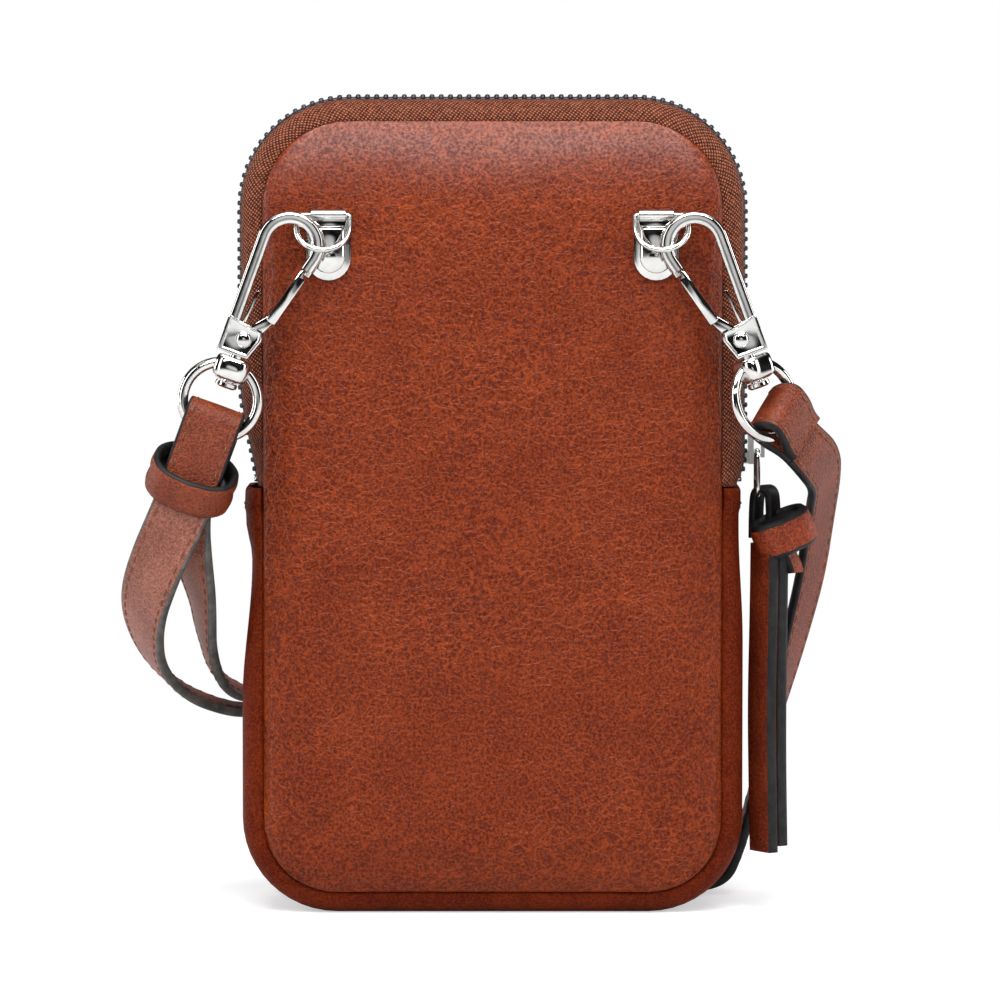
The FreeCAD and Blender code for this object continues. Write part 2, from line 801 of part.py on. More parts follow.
# The right fold's short layer is sewn down on the layer that goes on
def right_end():
    front = [(-fold_outer, fold_centre), (-fold_inner, fold_centre), (0, -sewn_start), (0, -sewn_end)]
    front = front + [(-strap_thickness, -sewn_end), (-strap_thickness, -sewn_start)]
    back = [(fold_inner, fold_centre), (fold_outer, fold_centre), (strap_thickness, -sewn_start)]
    back = back + [(strap_thickness, -sewn_layer_end), (0, -sewn_layer_end), (0, -sewn_start)]
    end = fold_cap().fuse(fold_layer(front)).fuse(fold_layer(back)).removeSplitter()
    return turn_right_end(end)


save(place_left(left_end()), "strap_left_end")
save(to_right(place_left(right_end())), "strap_right_end")

# Keeper loop round both layers of the left end
keeper_half_width = strap_half + keeper_play
keeper_half_depth = fold_outer + keeper_play
keeper_low = -keeper_level - keeper_height / 2
keeper = box(-keeper_half_width - keeper_leather, keeper_half_width + keeper_leather,
             -keeper_half_depth - keeper_leather, keeper_half_depth + keeper_leather, keeper_low,
             keeper_low + keeper_height)
uprights = [edge for edge in keeper.Edges if edge.BoundBox.ZLength > keeper_height / 2]
keeper = keeper.makeFillet(keeper_leather * 2, uprights)
keeper = keeper.cut(box(-keeper_half_width, keeper_half_width, -keeper_half_depth, keeper_half_depth,
                        -overrun * 2, overrun))
save(place_left(keeper), "strap_keeper")

# The put-away hank: runs behind the pouch, one above the other, turned back at each end
hank_front = panel_face + hank_gap
hank_back = hank_front + strap_width
hank_middle = (hank_front + hank_back) / 2
half_thick = strap_thickness / 2
first_run = hank_floor + half_thick


def run_level(index):
    return first_run + index * hank_pitch


# One face of the folded strip, half a thickness above or below its first run
def hank_side(side):
    edges = []
    for index in range(hank_runs):
        flip = 1 if index % 2 == 0 else -1
        end_x = -flip * hank_half_length
        level = run_level(index) + side * flip * half_thick
        edges.append(line(point(-end_x, hank_front, level), point(end_x, hank_front, level)))
        if index + 1 < hank_runs:
            radius = hank_pitch / 2 - side * flip * half_thick
            turn_level = run_level(index) + hank_pitch / 2
            middle = point(end_x - flip * radius, hank_front, turn_level)
            edges.append(arc(point(end_x, hank_front, level), middle, point(end_x, hank_front, turn_level + radius)))
    return edges


def hank():
    near = hank_side(1)
    far = hank_side(-1)
    first = line(near[0].Vertexes[0].Point, far[0].Vertexes[0].Point)
    last = line(near[-1].Vertexes[-1].Point, far[-1].Vertexes[-1].Point)
    edges = Part.__sortEdges__(near + far + [first, last])
    return Part.Face(Part.Wire(edges)).extrude(depth * strap_width)


# The least gap of the folded strip to itself, on points along its middle
def hank_self_gap():
    spots = []
    for edge in hank_side(0):
        spots = spots + edge.discretize(gap_points)
    travels = [0]
    for first, second in zip(spots, spots[1:]):
        travels.append(travels[-1] + (second - first).Length)
    least = hank_half_length
    turn_length = hank_pitch * math.pi / 2
    for first, first_travel in zip(spots, travels):
        for second, second_travel in zip(spots, travels):
            if second_travel - first_travel >= turn_length:
                least = min(least, (second - first).Length - strap_thickness)
    return least


print("strap_hank least gap to itself", round(hank_self_gap(), 2))

last_run = run_level(hank_runs - 1)
tail_level = last_run - strap_thickness - layer_gap
stud_hole = rod(stud_post + stud_hole_gap, point(-stud_x, hank_middle, tail_level - strap_thickness),
                point(-stud_x, hank_middle, last_run + strap_thickness))
save(hank().cut(stud_hole), "strap_hank")


# A tie round the middle of the hank
tie_half = tie_width / 2
tie_low = hank_floor - tie_gap
tie_high = last_run + half_thick + tie_gap
tie_front = hank_front - tie_gap
tie_back = hank_back + tie_gap
tie = box(-tie_half, tie_half, tie_front - tie_thickness, tie_back + tie_thickness, tie_low - tie_thickness,
          tie_high + tie_thickness)
tie = tie.cut(box(-overrun, overrun, tie_front, tie_back, tie_low, tie_high))
save(tie, "hank_tie")


# Free stretches: straight runs joined by arcs as large as the runs allow
def route_stations(places, name):
    stations = [(places[0], (places[1] - places[0]).normalize())]
    radii = []
    for index in range(1, len(places) - 1):
        before = places[index] - places[index - 1]
        after = places[index + 1] - places[index]
        shorter = min(before.Length, after.Length)
        turn = before.getAngle(after)
        reach_back = run_share * shorter
        radius = reach_back / math.tan(turn / 2)
        radii.append(round(radius, 1))
        into = FreeCAD.Vector(before).normalize()
        out = FreeCAD.Vector(after).normalize()
        side = (out - into * out.dot(into)).normalize()
        start = places[index] - into * reach_back
        for step in range(arc_steps + 1):
            angle = turn * step / arc_steps
            spot = start + into * (radius * math.sin(angle)) + side * (radius * (1 - math.cos(angle)))
            heading = into * math.cos(angle) + side * math.sin(angle)
            stations.append((spot, heading))
    stations.append((places[-1], (places[-1] - places[-2]).normalize()))
    print(name, "bend radii", radii)
    return stations


def ribbon(places, widths, name):
    stations = route_stations(places, name)
    travels = [0]
    for first, second in zip(stations, stations[1:]):
        travels.append(travels[-1] + (second[0] - first[0]).Length)
    marks = []
    for place in places:
        nearest = min(range(len(stations)), key=lambda item: (stations[item][0] - place).Length)
        marks.append(travels[nearest])
    sections = []
    for (spot, heading), travel in zip(stations, travels):
        across_strap = widths[-1]
        for index in range(len(marks) - 1):
            if marks[index] <= travel <= marks[index + 1]:
                part = (travel - marks[index]) / (marks[index + 1] - marks[index])
                across_strap = widths[index] * (1 - part) + widths[index + 1] * part
                break
        across_strap = (across_strap - heading * across_strap.dot(heading)).normalize() * strap_half
        normal = heading.cross(across_strap).normalize() * half_thick
        corners = [spot + across_strap + normal, spot - across_strap + normal]
        corners = corners + [spot - across_strap - normal, spot + across_strap - normal]
        sections.append(Part.makePolygon(corners + corners[:1]))
    solid = Part.makeLoft(sections, True, True)
    expected = strap_width * strap_thickness * travels[-1]
    print(name, "length", round(travels[-1], 1), "volume share", round(solid.Volume / expected, 3))
    return solid


# Where a layer leaves its swivel, which way its width points there, and where it heads
def layer_exit(y_local, end, on_right):
    spots = []
    for x, z in ((0, -end), (strap_half, -end), (0, -end - lead_length)):
        spot = Part.Vertex(x, y_local, z)
        if on_right:
            spot = to_right(place_left(turn_right_end(spot)))
        else:
            spot = place_left(spot)
        spots.append(spot.Point)
    width = (spots[1] - spots[0]).normalize()
    if width.x < 0:
        width = width * -1
    return spots[0], width, spots[2]


def leg(route, side, leaving, end_places, end_width, name):
    exit_place, exit_width, lead = leaving
    places = [exit_place, lead]
    places = places + [point(side * (crest_half_width + out), y, z) for out, y, z, width in route] + end_places
    widths = [exit_width, exit_width] + [point(*width) for out, y, z, width in route]
    return ribbon(places, widths + [end_width] * len(end_places), name)


middle_layer = fold_inner + half_thick
right_finish = [point(x, hank_middle, first_run) for x in (right_landing_x, hank_half_length)]
right_exit = layer_exit(half_thick, sewn_layer_end, True)
save(leg(right_leg_route, 1, right_exit, right_finish, depth, "strap_right_leg"), "strap_right_leg")
left_finish = [point(x, hank_middle, last_run) for x in (left_landing_x, -hank_half_length)]
inner_exit = layer_exit(middle_layer, layer_end, False)
save(leg(left_inner_route, -1, inner_exit, left_finish, depth * -1, "strap_left_inner"), "strap_left_inner")
tail_finish = [point(x, hank_middle, tail_level) for x in (tail_landing_x, tail_end_x)]
tail_exit = layer_exit(-middle_layer, layer_end, False)
tail_strip = leg(tail_route, -1, tail_exit, tail_finish, depth * -1, "strap_tail")
save(tail_strip.cut(stud_hole), "strap_tail")

# Button stud that holds the tail to the hank's last run
stud_foot = tail_level - half_thick - layer_gap / 2
stud_head = last_run + half_thick + layer_gap
stud_top = point(-stud_x, hank_middle, stud_head + stud_ball / 2)
stud = rod(stud_post, point(-stud_x, hank_middle, stud_foot), stud_top)
stud = stud.fuse(rod(stud_base_radius, point(-stud_x, hank_middle, stud_foot - stud_base),
                     point(-stud_x, hank_middle, stud_foot)))
ball = Part.makeSphere(stud_ball, stud_top + up * (stud_ball / 2))
ball = ball.cut(between(stud_head - overrun, stud_head))
save(stud.fuse(ball).removeSplitter(), "strap_stud")
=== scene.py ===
import json
import math

import bmesh
import bpy
from mathutils import Matrix, Vector, noise
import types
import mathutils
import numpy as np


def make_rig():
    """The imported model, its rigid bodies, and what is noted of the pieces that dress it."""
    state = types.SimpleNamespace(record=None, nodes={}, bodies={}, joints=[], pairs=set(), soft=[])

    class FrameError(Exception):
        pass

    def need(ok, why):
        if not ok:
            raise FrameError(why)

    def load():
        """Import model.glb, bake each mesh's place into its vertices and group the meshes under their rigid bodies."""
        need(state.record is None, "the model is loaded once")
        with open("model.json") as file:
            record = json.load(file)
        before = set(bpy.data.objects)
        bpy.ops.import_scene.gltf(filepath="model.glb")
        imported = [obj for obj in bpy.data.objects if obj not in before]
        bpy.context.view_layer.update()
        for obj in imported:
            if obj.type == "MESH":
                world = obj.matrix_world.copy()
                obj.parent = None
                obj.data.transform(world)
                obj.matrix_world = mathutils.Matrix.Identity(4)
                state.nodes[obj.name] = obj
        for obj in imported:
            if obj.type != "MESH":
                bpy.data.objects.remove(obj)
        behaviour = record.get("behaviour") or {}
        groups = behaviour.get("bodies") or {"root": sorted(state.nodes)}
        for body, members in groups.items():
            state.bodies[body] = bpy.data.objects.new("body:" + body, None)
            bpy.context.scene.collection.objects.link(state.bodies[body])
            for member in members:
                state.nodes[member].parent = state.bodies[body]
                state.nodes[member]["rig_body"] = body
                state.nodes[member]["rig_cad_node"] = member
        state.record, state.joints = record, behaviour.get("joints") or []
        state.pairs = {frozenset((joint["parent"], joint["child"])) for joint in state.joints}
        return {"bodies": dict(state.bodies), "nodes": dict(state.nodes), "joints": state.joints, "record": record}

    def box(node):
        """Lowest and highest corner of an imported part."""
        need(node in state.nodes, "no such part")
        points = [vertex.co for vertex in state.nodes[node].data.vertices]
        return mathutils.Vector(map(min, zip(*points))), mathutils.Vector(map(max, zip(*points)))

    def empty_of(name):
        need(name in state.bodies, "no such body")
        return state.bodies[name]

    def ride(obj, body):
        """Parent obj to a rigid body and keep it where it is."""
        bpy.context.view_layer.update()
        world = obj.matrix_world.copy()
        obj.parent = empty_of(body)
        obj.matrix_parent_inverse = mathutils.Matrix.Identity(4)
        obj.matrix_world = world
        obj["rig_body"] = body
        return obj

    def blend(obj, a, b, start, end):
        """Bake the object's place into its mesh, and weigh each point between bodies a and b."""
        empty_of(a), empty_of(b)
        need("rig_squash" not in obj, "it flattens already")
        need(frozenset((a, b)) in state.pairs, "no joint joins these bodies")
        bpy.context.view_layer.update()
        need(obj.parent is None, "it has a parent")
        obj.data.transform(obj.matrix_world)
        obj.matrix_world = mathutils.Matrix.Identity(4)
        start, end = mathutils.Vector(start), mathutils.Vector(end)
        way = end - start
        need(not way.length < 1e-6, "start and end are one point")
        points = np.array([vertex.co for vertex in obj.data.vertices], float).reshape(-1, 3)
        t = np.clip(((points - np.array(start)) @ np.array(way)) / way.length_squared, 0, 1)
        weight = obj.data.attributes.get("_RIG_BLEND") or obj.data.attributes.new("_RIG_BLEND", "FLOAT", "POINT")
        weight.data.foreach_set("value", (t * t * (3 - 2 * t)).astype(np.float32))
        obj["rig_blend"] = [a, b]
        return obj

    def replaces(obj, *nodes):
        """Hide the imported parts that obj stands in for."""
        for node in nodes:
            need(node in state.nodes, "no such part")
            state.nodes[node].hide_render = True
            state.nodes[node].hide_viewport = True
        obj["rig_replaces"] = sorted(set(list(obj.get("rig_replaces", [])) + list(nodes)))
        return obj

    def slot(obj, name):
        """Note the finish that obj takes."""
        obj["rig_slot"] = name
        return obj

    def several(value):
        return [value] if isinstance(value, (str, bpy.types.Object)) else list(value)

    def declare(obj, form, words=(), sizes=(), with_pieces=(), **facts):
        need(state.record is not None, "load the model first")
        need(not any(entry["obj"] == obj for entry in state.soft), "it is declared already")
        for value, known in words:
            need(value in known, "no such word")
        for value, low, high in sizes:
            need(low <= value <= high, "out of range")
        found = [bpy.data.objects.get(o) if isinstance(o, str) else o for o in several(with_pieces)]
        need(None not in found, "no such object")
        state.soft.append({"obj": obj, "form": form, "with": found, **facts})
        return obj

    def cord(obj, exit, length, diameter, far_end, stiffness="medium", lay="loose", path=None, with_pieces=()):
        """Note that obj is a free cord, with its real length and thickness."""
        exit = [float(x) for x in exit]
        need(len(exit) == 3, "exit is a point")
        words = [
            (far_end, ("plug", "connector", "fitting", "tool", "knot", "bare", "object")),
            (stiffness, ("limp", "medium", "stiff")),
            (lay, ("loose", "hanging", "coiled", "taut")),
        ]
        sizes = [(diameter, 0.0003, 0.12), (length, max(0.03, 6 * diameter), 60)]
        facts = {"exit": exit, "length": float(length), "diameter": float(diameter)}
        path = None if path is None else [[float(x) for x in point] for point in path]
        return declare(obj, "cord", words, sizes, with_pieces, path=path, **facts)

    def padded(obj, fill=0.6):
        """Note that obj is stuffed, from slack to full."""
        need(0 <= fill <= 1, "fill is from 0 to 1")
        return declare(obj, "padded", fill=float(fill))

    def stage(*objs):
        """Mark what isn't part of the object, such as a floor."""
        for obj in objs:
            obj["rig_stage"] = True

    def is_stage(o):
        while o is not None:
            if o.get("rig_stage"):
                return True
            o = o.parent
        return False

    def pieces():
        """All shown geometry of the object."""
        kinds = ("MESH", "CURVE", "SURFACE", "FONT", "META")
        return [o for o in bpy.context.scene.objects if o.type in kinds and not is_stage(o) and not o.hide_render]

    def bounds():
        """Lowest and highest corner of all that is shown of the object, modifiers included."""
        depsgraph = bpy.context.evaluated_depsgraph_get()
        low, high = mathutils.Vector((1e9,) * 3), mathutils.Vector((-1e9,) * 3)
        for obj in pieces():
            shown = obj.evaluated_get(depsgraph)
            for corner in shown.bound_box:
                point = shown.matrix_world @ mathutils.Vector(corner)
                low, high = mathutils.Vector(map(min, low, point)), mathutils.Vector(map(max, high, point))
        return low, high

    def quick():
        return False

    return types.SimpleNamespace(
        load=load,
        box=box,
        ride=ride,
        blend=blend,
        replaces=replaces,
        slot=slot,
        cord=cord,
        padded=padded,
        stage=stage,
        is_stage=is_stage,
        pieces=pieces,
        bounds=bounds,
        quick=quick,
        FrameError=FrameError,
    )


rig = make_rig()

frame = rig.load()
cad_low, cad_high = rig.bounds()


# Finishes: node maths written as Python expressions

class Shade:
    """A socket of a node tree, with the sums that the finishes and the world use."""

    def __init__(self, nodes, socket):
        self.nodes = nodes
        self.socket = socket

    def sum_with(self, operation, first, second):
        return self.nodes.node("ShaderNodeMath", {"operation": operation}, {0: first, 1: second})

    def __add__(self, other):
        return self.sum_with("ADD", self, other)

    def __radd__(self, other):
        return self.sum_with("ADD", other, self)

    def __sub__(self, other):
        return self.sum_with("SUBTRACT", self, other)

    def __rsub__(self, other):
        return self.sum_with("SUBTRACT", other, self)

    def __mul__(self, other):
        return self.sum_with("MULTIPLY", self, other)

    def __rmul__(self, other):
        return self.sum_with("MULTIPLY", other, self)

    def most(self, other):
        return self.sum_with("MAXIMUM", self, other)

    def rise(self, low, high, least=0.0, most=1.0):
        settings = {"interpolation_type": "SMOOTHSTEP", "clamp": True}
        return self.nodes.node("ShaderNodeMapRange", settings, {0: self, 1: low, 2: high, 3: least, 4: most})


class Nodes:
    """A node tree, built node by node."""

    def __init__(self, tree):
        self.tree = tree

    def node(self, kind, settings, sockets, output=0):
        made = self.tree.nodes.new(kind)
        for name, value in settings.items():
            setattr(made, name, value)
        for name, value in sockets.items():
            if isinstance(value, Shade):
                self.tree.links.new(value.socket, made.inputs[name])
            else:
                made.inputs[name].default_value = value
        return Shade(self, made.outputs[output])


class Finish(Nodes):
    """A material with a Principled shader."""

    def __init__(self, name, **constants):
        self.material = bpy.data.materials.new(name)
        self.material.use_nodes = True
        super().__init__(self.material.node_tree)
        self.shader = self.tree.nodes["Principled BSDF"]
        for socket, value in constants.items():
            self.shader.inputs[socket.replace("_", " ")].default_value = value

    def place(self):
        return self.node("ShaderNodeTexCoord", {}, {}, "Object")

    def surface(self):
        return self.node("ShaderNodeUVMap", {}, {})

    def stretched(self, vector, scale, turn=0.0):
        return self.node("ShaderNodeMapping", {}, {0: vector, 2: (0.0, 0.0, turn), 3: scale})

    def clouds(self, vector, scale, detail=2.0, output=0):
        return self.node("ShaderNodeTexNoise", {}, {"Vector": vector, "Scale": scale, "Detail": detail}, output)

    def cells(self, vector, scale):
        settings = {"feature": "DISTANCE_TO_EDGE"}
        return self.node("ShaderNodeTexVoronoi", settings, {"Vector": vector, "Scale": scale})

    def waves(self, vector, scale, direction):
        settings = {"wave_type": "BANDS", "bands_direction": direction, "wave_profile": "SIN"}
        return self.node("ShaderNodeTexWave", settings, {"Vector": vector, "Scale": scale}, 1)

    def shifted(self, vector, colour, amount):
        centred = self.node("ShaderNodeVectorMath", {"operation": "SUBTRACT"}, {0: colour, 1: (0.5, 0.5, 0.5)})
        reach = self.node("ShaderNodeVectorMath", {"operation": "SCALE"}, {0: centred, "Scale": amount})
        return self.node("ShaderNodeVectorMath", {"operation": "ADD"}, {0: vector, 1: reach})

    def painted(self, share, dark, light, rough, height=None, strength=0.0, distance=0.0, **links):
        """The material, with a colour between two tones, a roughness and a fine relief where it has a height."""
        tones = {0: share, 6: (*dark, 1.0), 7: (*light, 1.0)}
        links["Base_Color"] = self.node("ShaderNodeMix", {"data_type": "RGBA"}, tones, 2)
        links["Roughness"] = rough
        if height is not None:
            relief = {"Height": height, "Strength": strength, "Distance": distance}
            links["Normal"] = self.node("ShaderNodeBump", {}, relief)
        for socket, value in links.items():
            self.tree.links.new(value.socket, self.shader.inputs[socket.replace("_", " ")])
        return self.material


def pebbled_leather(name, dark, light, pebble, crease, grain_depth):
    """Small pebbles and creases with paler lines, a painted highlight along the panel's seam and a polished top."""
    finish = Finish(name, Specular_IOR_Level=0.15, Coat_Roughness=0.36)
    at = finish.place()
    bent = finish.shifted(at, finish.clouds(at, 420.0, 2.0, "Color"), 0.0016)
    folded = finish.shifted(at, finish.clouds(at, 130.0, 3.0, "Color"), 0.0060)
    regions = finish.clouds(at, 30.0, 3.0).rise(0.40, 0.60)
    grains = finish.cells(bent, pebble * 2.3).rise(0.0, 0.3)
    pebbles = finish.cells(bent, pebble).rise(0.0, 0.2)
    creases = finish.cells(finish.stretched(folded, (1.0, 1.0, 1.25), 0.35), crease).rise(0.0, 0.1)
    pores = finish.clouds(at, 1500.0, 3.0)
    blotches = finish.clouds(at, 60.0, 5.0)
    strength = 0.55 + regions * 0.45
    height = grains * 0.22 + pebbles * (0.25 + regions * 0.2) + creases * strength * 0.5 + pores * 0.25
    lines = (1 - grains) * 0.15 + (1 - pebbles) * strength * 0.11 + (1 - creases) * strength * 0.22
    depth = finish.node("ShaderNodeSeparateXYZ", {}, {0: at}, 1)
    # Paler near the seam: a painted highlight on the panel's turned edge.
    seam_highlight = 1 - (depth * depth).rise(0.0132 ** 2, 0.0143 ** 2)
    share = lines + blotches.rise(0.25, 0.8) * 0.1 + pores.rise(0.3, 0.7) * 0.40 + seam_highlight * 0.12
    rough = 0.28 + (1 - pebbles) * 0.1 + blotches * 0.12
    level = finish.node("ShaderNodeSeparateXYZ", {}, {0: at}, 2)
    polish = level.rise(0.160, 0.176) * (0.35 + pores.rise(0.3, 0.7) * 0.65)
    return finish.painted(share.rise(0.0, 0.9), dark, light, rough, height, grain_depth, 0.00026,
                          Coat_Weight=polish)


def fine_leather(name, dark, light, grain_depth, specular=0.4):
    finish = Finish(name, Specular_IOR_Level=specular)
    at = finish.place()
    bent = finish.shifted(at, finish.clouds(at, 400.0, 2.0, "Color"), 0.0014)
    grain = finish.cells(bent, 1500.0).rise(0.0, 0.32)
    folds = finish.cells(finish.stretched(bent, (1.0, 1.0, 1.6)), 480.0).rise(0.0, 0.12)
    blotches = finish.clouds(at, 110.0, 4.0)
    pores = finish.clouds(at, 1900.0, 3.0)
    height = grain * 0.5 + folds * 0.3 + pores * 0.3
    paler = (1 - folds) * 0.16 + (1 - grain) * 0.26
    share = paler + blotches.rise(0.25, 0.8) * 0.3 + pores.rise(0.3, 0.7) * 0.4 - 0.1
    rough = 0.38 + (1 - grain) * 0.1 + blotches * 0.14
    return finish.painted(share.rise(0.0, 1.0), dark, light, rough, height, grain_depth, 0.00016)


def painted_edge(name, dark, light):
    finish = Finish(name, Specular_IOR_Level=0.25)
    smear = finish.clouds(finish.place(), 420.0, 3.0)
    return finish.painted(smear.rise(0.3, 0.75), dark, light, 0.42 + smear * 0.2, smear, 0.35, 0.0002)


def woven_tape():
    finish = Finish("zip_tape_weave", Specular_IOR_Level=0.2)
    slanted = finish.stretched(finish.surface(), (1.0, 1.0, 1.0), 0.62)
    threads = finish.waves(slanted, 430.0, "X") * finish.waves(slanted, 520.0, "Y")
    fuzz = finish.clouds(finish.place(), 1100.0, 3.0)
    share = threads * 0.5 + fuzz * 0.5
    return finish.painted(share.rise(0.2, 0.75), (0.030, 0.0045, 0.0012), (0.42, 0.130, 0.062),
                          0.7 + fuzz * 0.16, threads + fuzz * 0.4, 0.8, 0.0003)


def plain_lining(name, dark, light):
    finish = Finish(name, Specular_IOR_Level=0.2)
    at = finish.place()
    cloth = finish.waves(at, 330.0, "X") * finish.waves(at, 330.0, "Z")
    fuzz = finish.clouds(at, 500.0, 3.0)
    share = (cloth * 0.6 + fuzz * 0.5).rise(0.1, 0.9)
    return finish.painted(share, dark, light, 0.78 + fuzz * 0.12, cloth, 0.45, 0.0002)


def moulded_teeth():
    finish = Finish("zip_teeth_moulded", Specular_IOR_Level=0.5)
    speck = finish.clouds(finish.place(), 700.0, 2.0)
    return finish.painted(speck.rise(0.3, 0.7), (0.006, 0.006, 0.010), (0.020, 0.021, 0.034), 0.22 + speck * 0.2)


def plated_metal():
    finish = Finish("chrome_plate", Metallic=1.0)
    at = finish.place()
    haze = finish.clouds(at, 190.0, 2.0)
    scuffs = finish.clouds(finish.stretched(at, (1.0, 1.0, 0.25), 0.3), 1900.0, 2.0)
    rough = 0.05 + haze * 0.05 + scuffs.rise(0.62, 0.8) * 0.05
    return finish.painted(haze.rise(0.3, 0.8), (0.58, 0.575, 0.56), (0.74, 0.73, 0.705), rough, haze, 0.05, 0.0006)


def sewing_thread():
    finish = Finish("sewing_thread", Specular_IOR_Level=0.3)
    twist = finish.waves(finish.stretched(finish.place(), (1.0, 1.0, 1.0), 0.8), 900.0, "X")
    return finish.painted(twist, (0.085, 0.026, 0.012), (0.21, 0.075, 0.036), 0.55 + twist * 0.2,
                          twist, 0.3, 0.0001)


panel_leather = pebbled_leather("panel_leather", (0.058, 0.0042, 0.0002), (0.250, 0.038, 0.0055),
                                640.0, 330.0, 0.9)
gusset_leather = fine_leather("gusset_leather", (0.056, 0.0042, 0.0003), (0.155, 0.020, 0.0027), 0.6, 0.06)
strap_leather = fine_leather("strap_leather", (0.075, 0.0075, 0.0008), (0.25, 0.047, 0.012), 0.8, 0.3)
# Paler copy of the strap leather for the left legs: painted sheen, where the legs catch light from the white backdrop.
leg_sheen_leather = fine_leather("strap_leg_painted_sheen_leather", (0.125, 0.026, 0.012), (0.36, 0.125, 0.080), 0.8, 0.5)
tassel_leather = fine_leather("tassel_leather", (0.080, 0.007, 0.0006), (0.32, 0.050, 0.010), 0.8, 0.25)
tail_leather = fine_leather("tassel_tail_leather", (0.050, 0.0040, 0.0003), (0.20, 0.028, 0.0055), 0.8, 0.25)
edge_paint = painted_edge("edge_paint", (0.004, 0.004, 0.005), (0.014, 0.013, 0.013))
# Grey edge paint for the left legs: painted sheen on their black edges.
sheen_edge_paint = painted_edge("edge_paint_with_painted_sheen", (0.060, 0.058, 0.054), (0.120, 0.117, 0.110))
tape_weave = woven_tape()
lining_cloth = plain_lining("lining_cloth", (0.030, 0.018, 0.011), (0.085, 0.055, 0.036))
tie_cloth = plain_lining("tie_cloth", (0.012, 0.011, 0.010), (0.045, 0.040, 0.036))
teeth_plastic = moulded_teeth()
chrome_plate = plated_metal()
thread = sewing_thread()


# Meshes

def shown(name, data):
    """An object with this data, in the scene."""
    made = bpy.data.objects.new(name, data)
    bpy.context.scene.collection.objects.link(made)
    return made


def piece_of(name, corners, faces, materials, marks=None, spread=None):
    """A piece with its place in its mesh. marks gives each face's material, spread each corner's UV."""
    mesh = bpy.data.meshes.new(name)
    mesh.from_pydata([tuple(corner) for corner in corners], [], faces)
    for material in materials:
        mesh.materials.append(material)
    if marks:
        mesh.polygons.foreach_set("material_index", marks)
    if spread:
        layer = mesh.uv_layers.new(name="UVMap")
        for loop in mesh.loops:
            layer.data[loop.index].uv = spread[loop.vertex_index]
    mesh.shade_smooth()
    return shown(name, mesh)


def face_outwards(piece, merge=1e-6):
    made = bmesh.new()
    made.from_mesh(piece.data)
    bmesh.ops.remove_doubles(made, verts=made.verts, dist=merge)
    bmesh.ops.recalc_face_normals(made, faces=made.faces)
    made.to_mesh(piece.data)
    made.free()
    return piece


def sharpened(piece, angle=28.0):
    piece.data.set_sharp_from_angle(angle=math.radians(angle))
    return piece


def plain_mesh(piece):
    """The piece with its modifiers worked into its mesh."""
    shape = piece.evaluated_get(bpy.context.evaluated_depsgraph_get())
    worked = bpy.data.meshes.new_from_object(shape)
    worked.name = piece.name
    piece.modifiers.clear()
    piece.data = worked
    return piece


def skin(name, rings, materials, faced=None, spread=None, merge=1e-6, capped=True):
    """A piece over rings of corners that follow each other, with its ends filled in where it is capped.

    faced names the sides with the first material, where the other sides and the ends have the second.
    """
    count = len(rings[0])
    corners = [corner for ring in rings for corner in ring]
    faces = []
    for row in range(len(rings) - 1):
        for column in range(count):
            following = (column + 1) % count
            faces.append((row * count + column, row * count + following,
                          (row + 1) * count + following, (row + 1) * count + column))
    if capped:
        faces.append(tuple(reversed(range(count))))
        faces.append(tuple((len(rings) - 1) * count + column for column in range(count)))
    marks = None
    if faced is not None:
        ends = [1, 1] if capped else []
        marks = [0 if column in faced else 1 for row in rings[1:] for column in range(count)] + ends
    return face_outwards(piece_of(name, corners, faces, materials, marks, spread), merge)


def joined(name, *parts):
    """One piece from parts that share their list of materials."""
    made = bmesh.new()
    for part in parts:
        made.from_mesh(part.data)
    mesh = bpy.data.meshes.new(name)
    made.to_mesh(mesh)
    made.free()
    for material in parts[0].data.materials:
        mesh.materials.append(material)
    for part in parts:
        bpy.data.objects.remove(part)
    return shown(name, mesh)


def dressed(piece, body, slot, *nodes):
    """Says what a piece rides on, which nodes it stands for and what it is made of."""
    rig.ride(piece, body)
    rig.replaces(piece, *nodes)
    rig.slot(piece, slot)


def compass(degrees):
    """The cosine and the sine of an angle."""
    return math.cos(math.radians(degrees)), math.sin(math.radians(degrees))


def turn_of(degrees, axis):
    return Matrix.Rotation(math.radians(degrees), 4, axis)


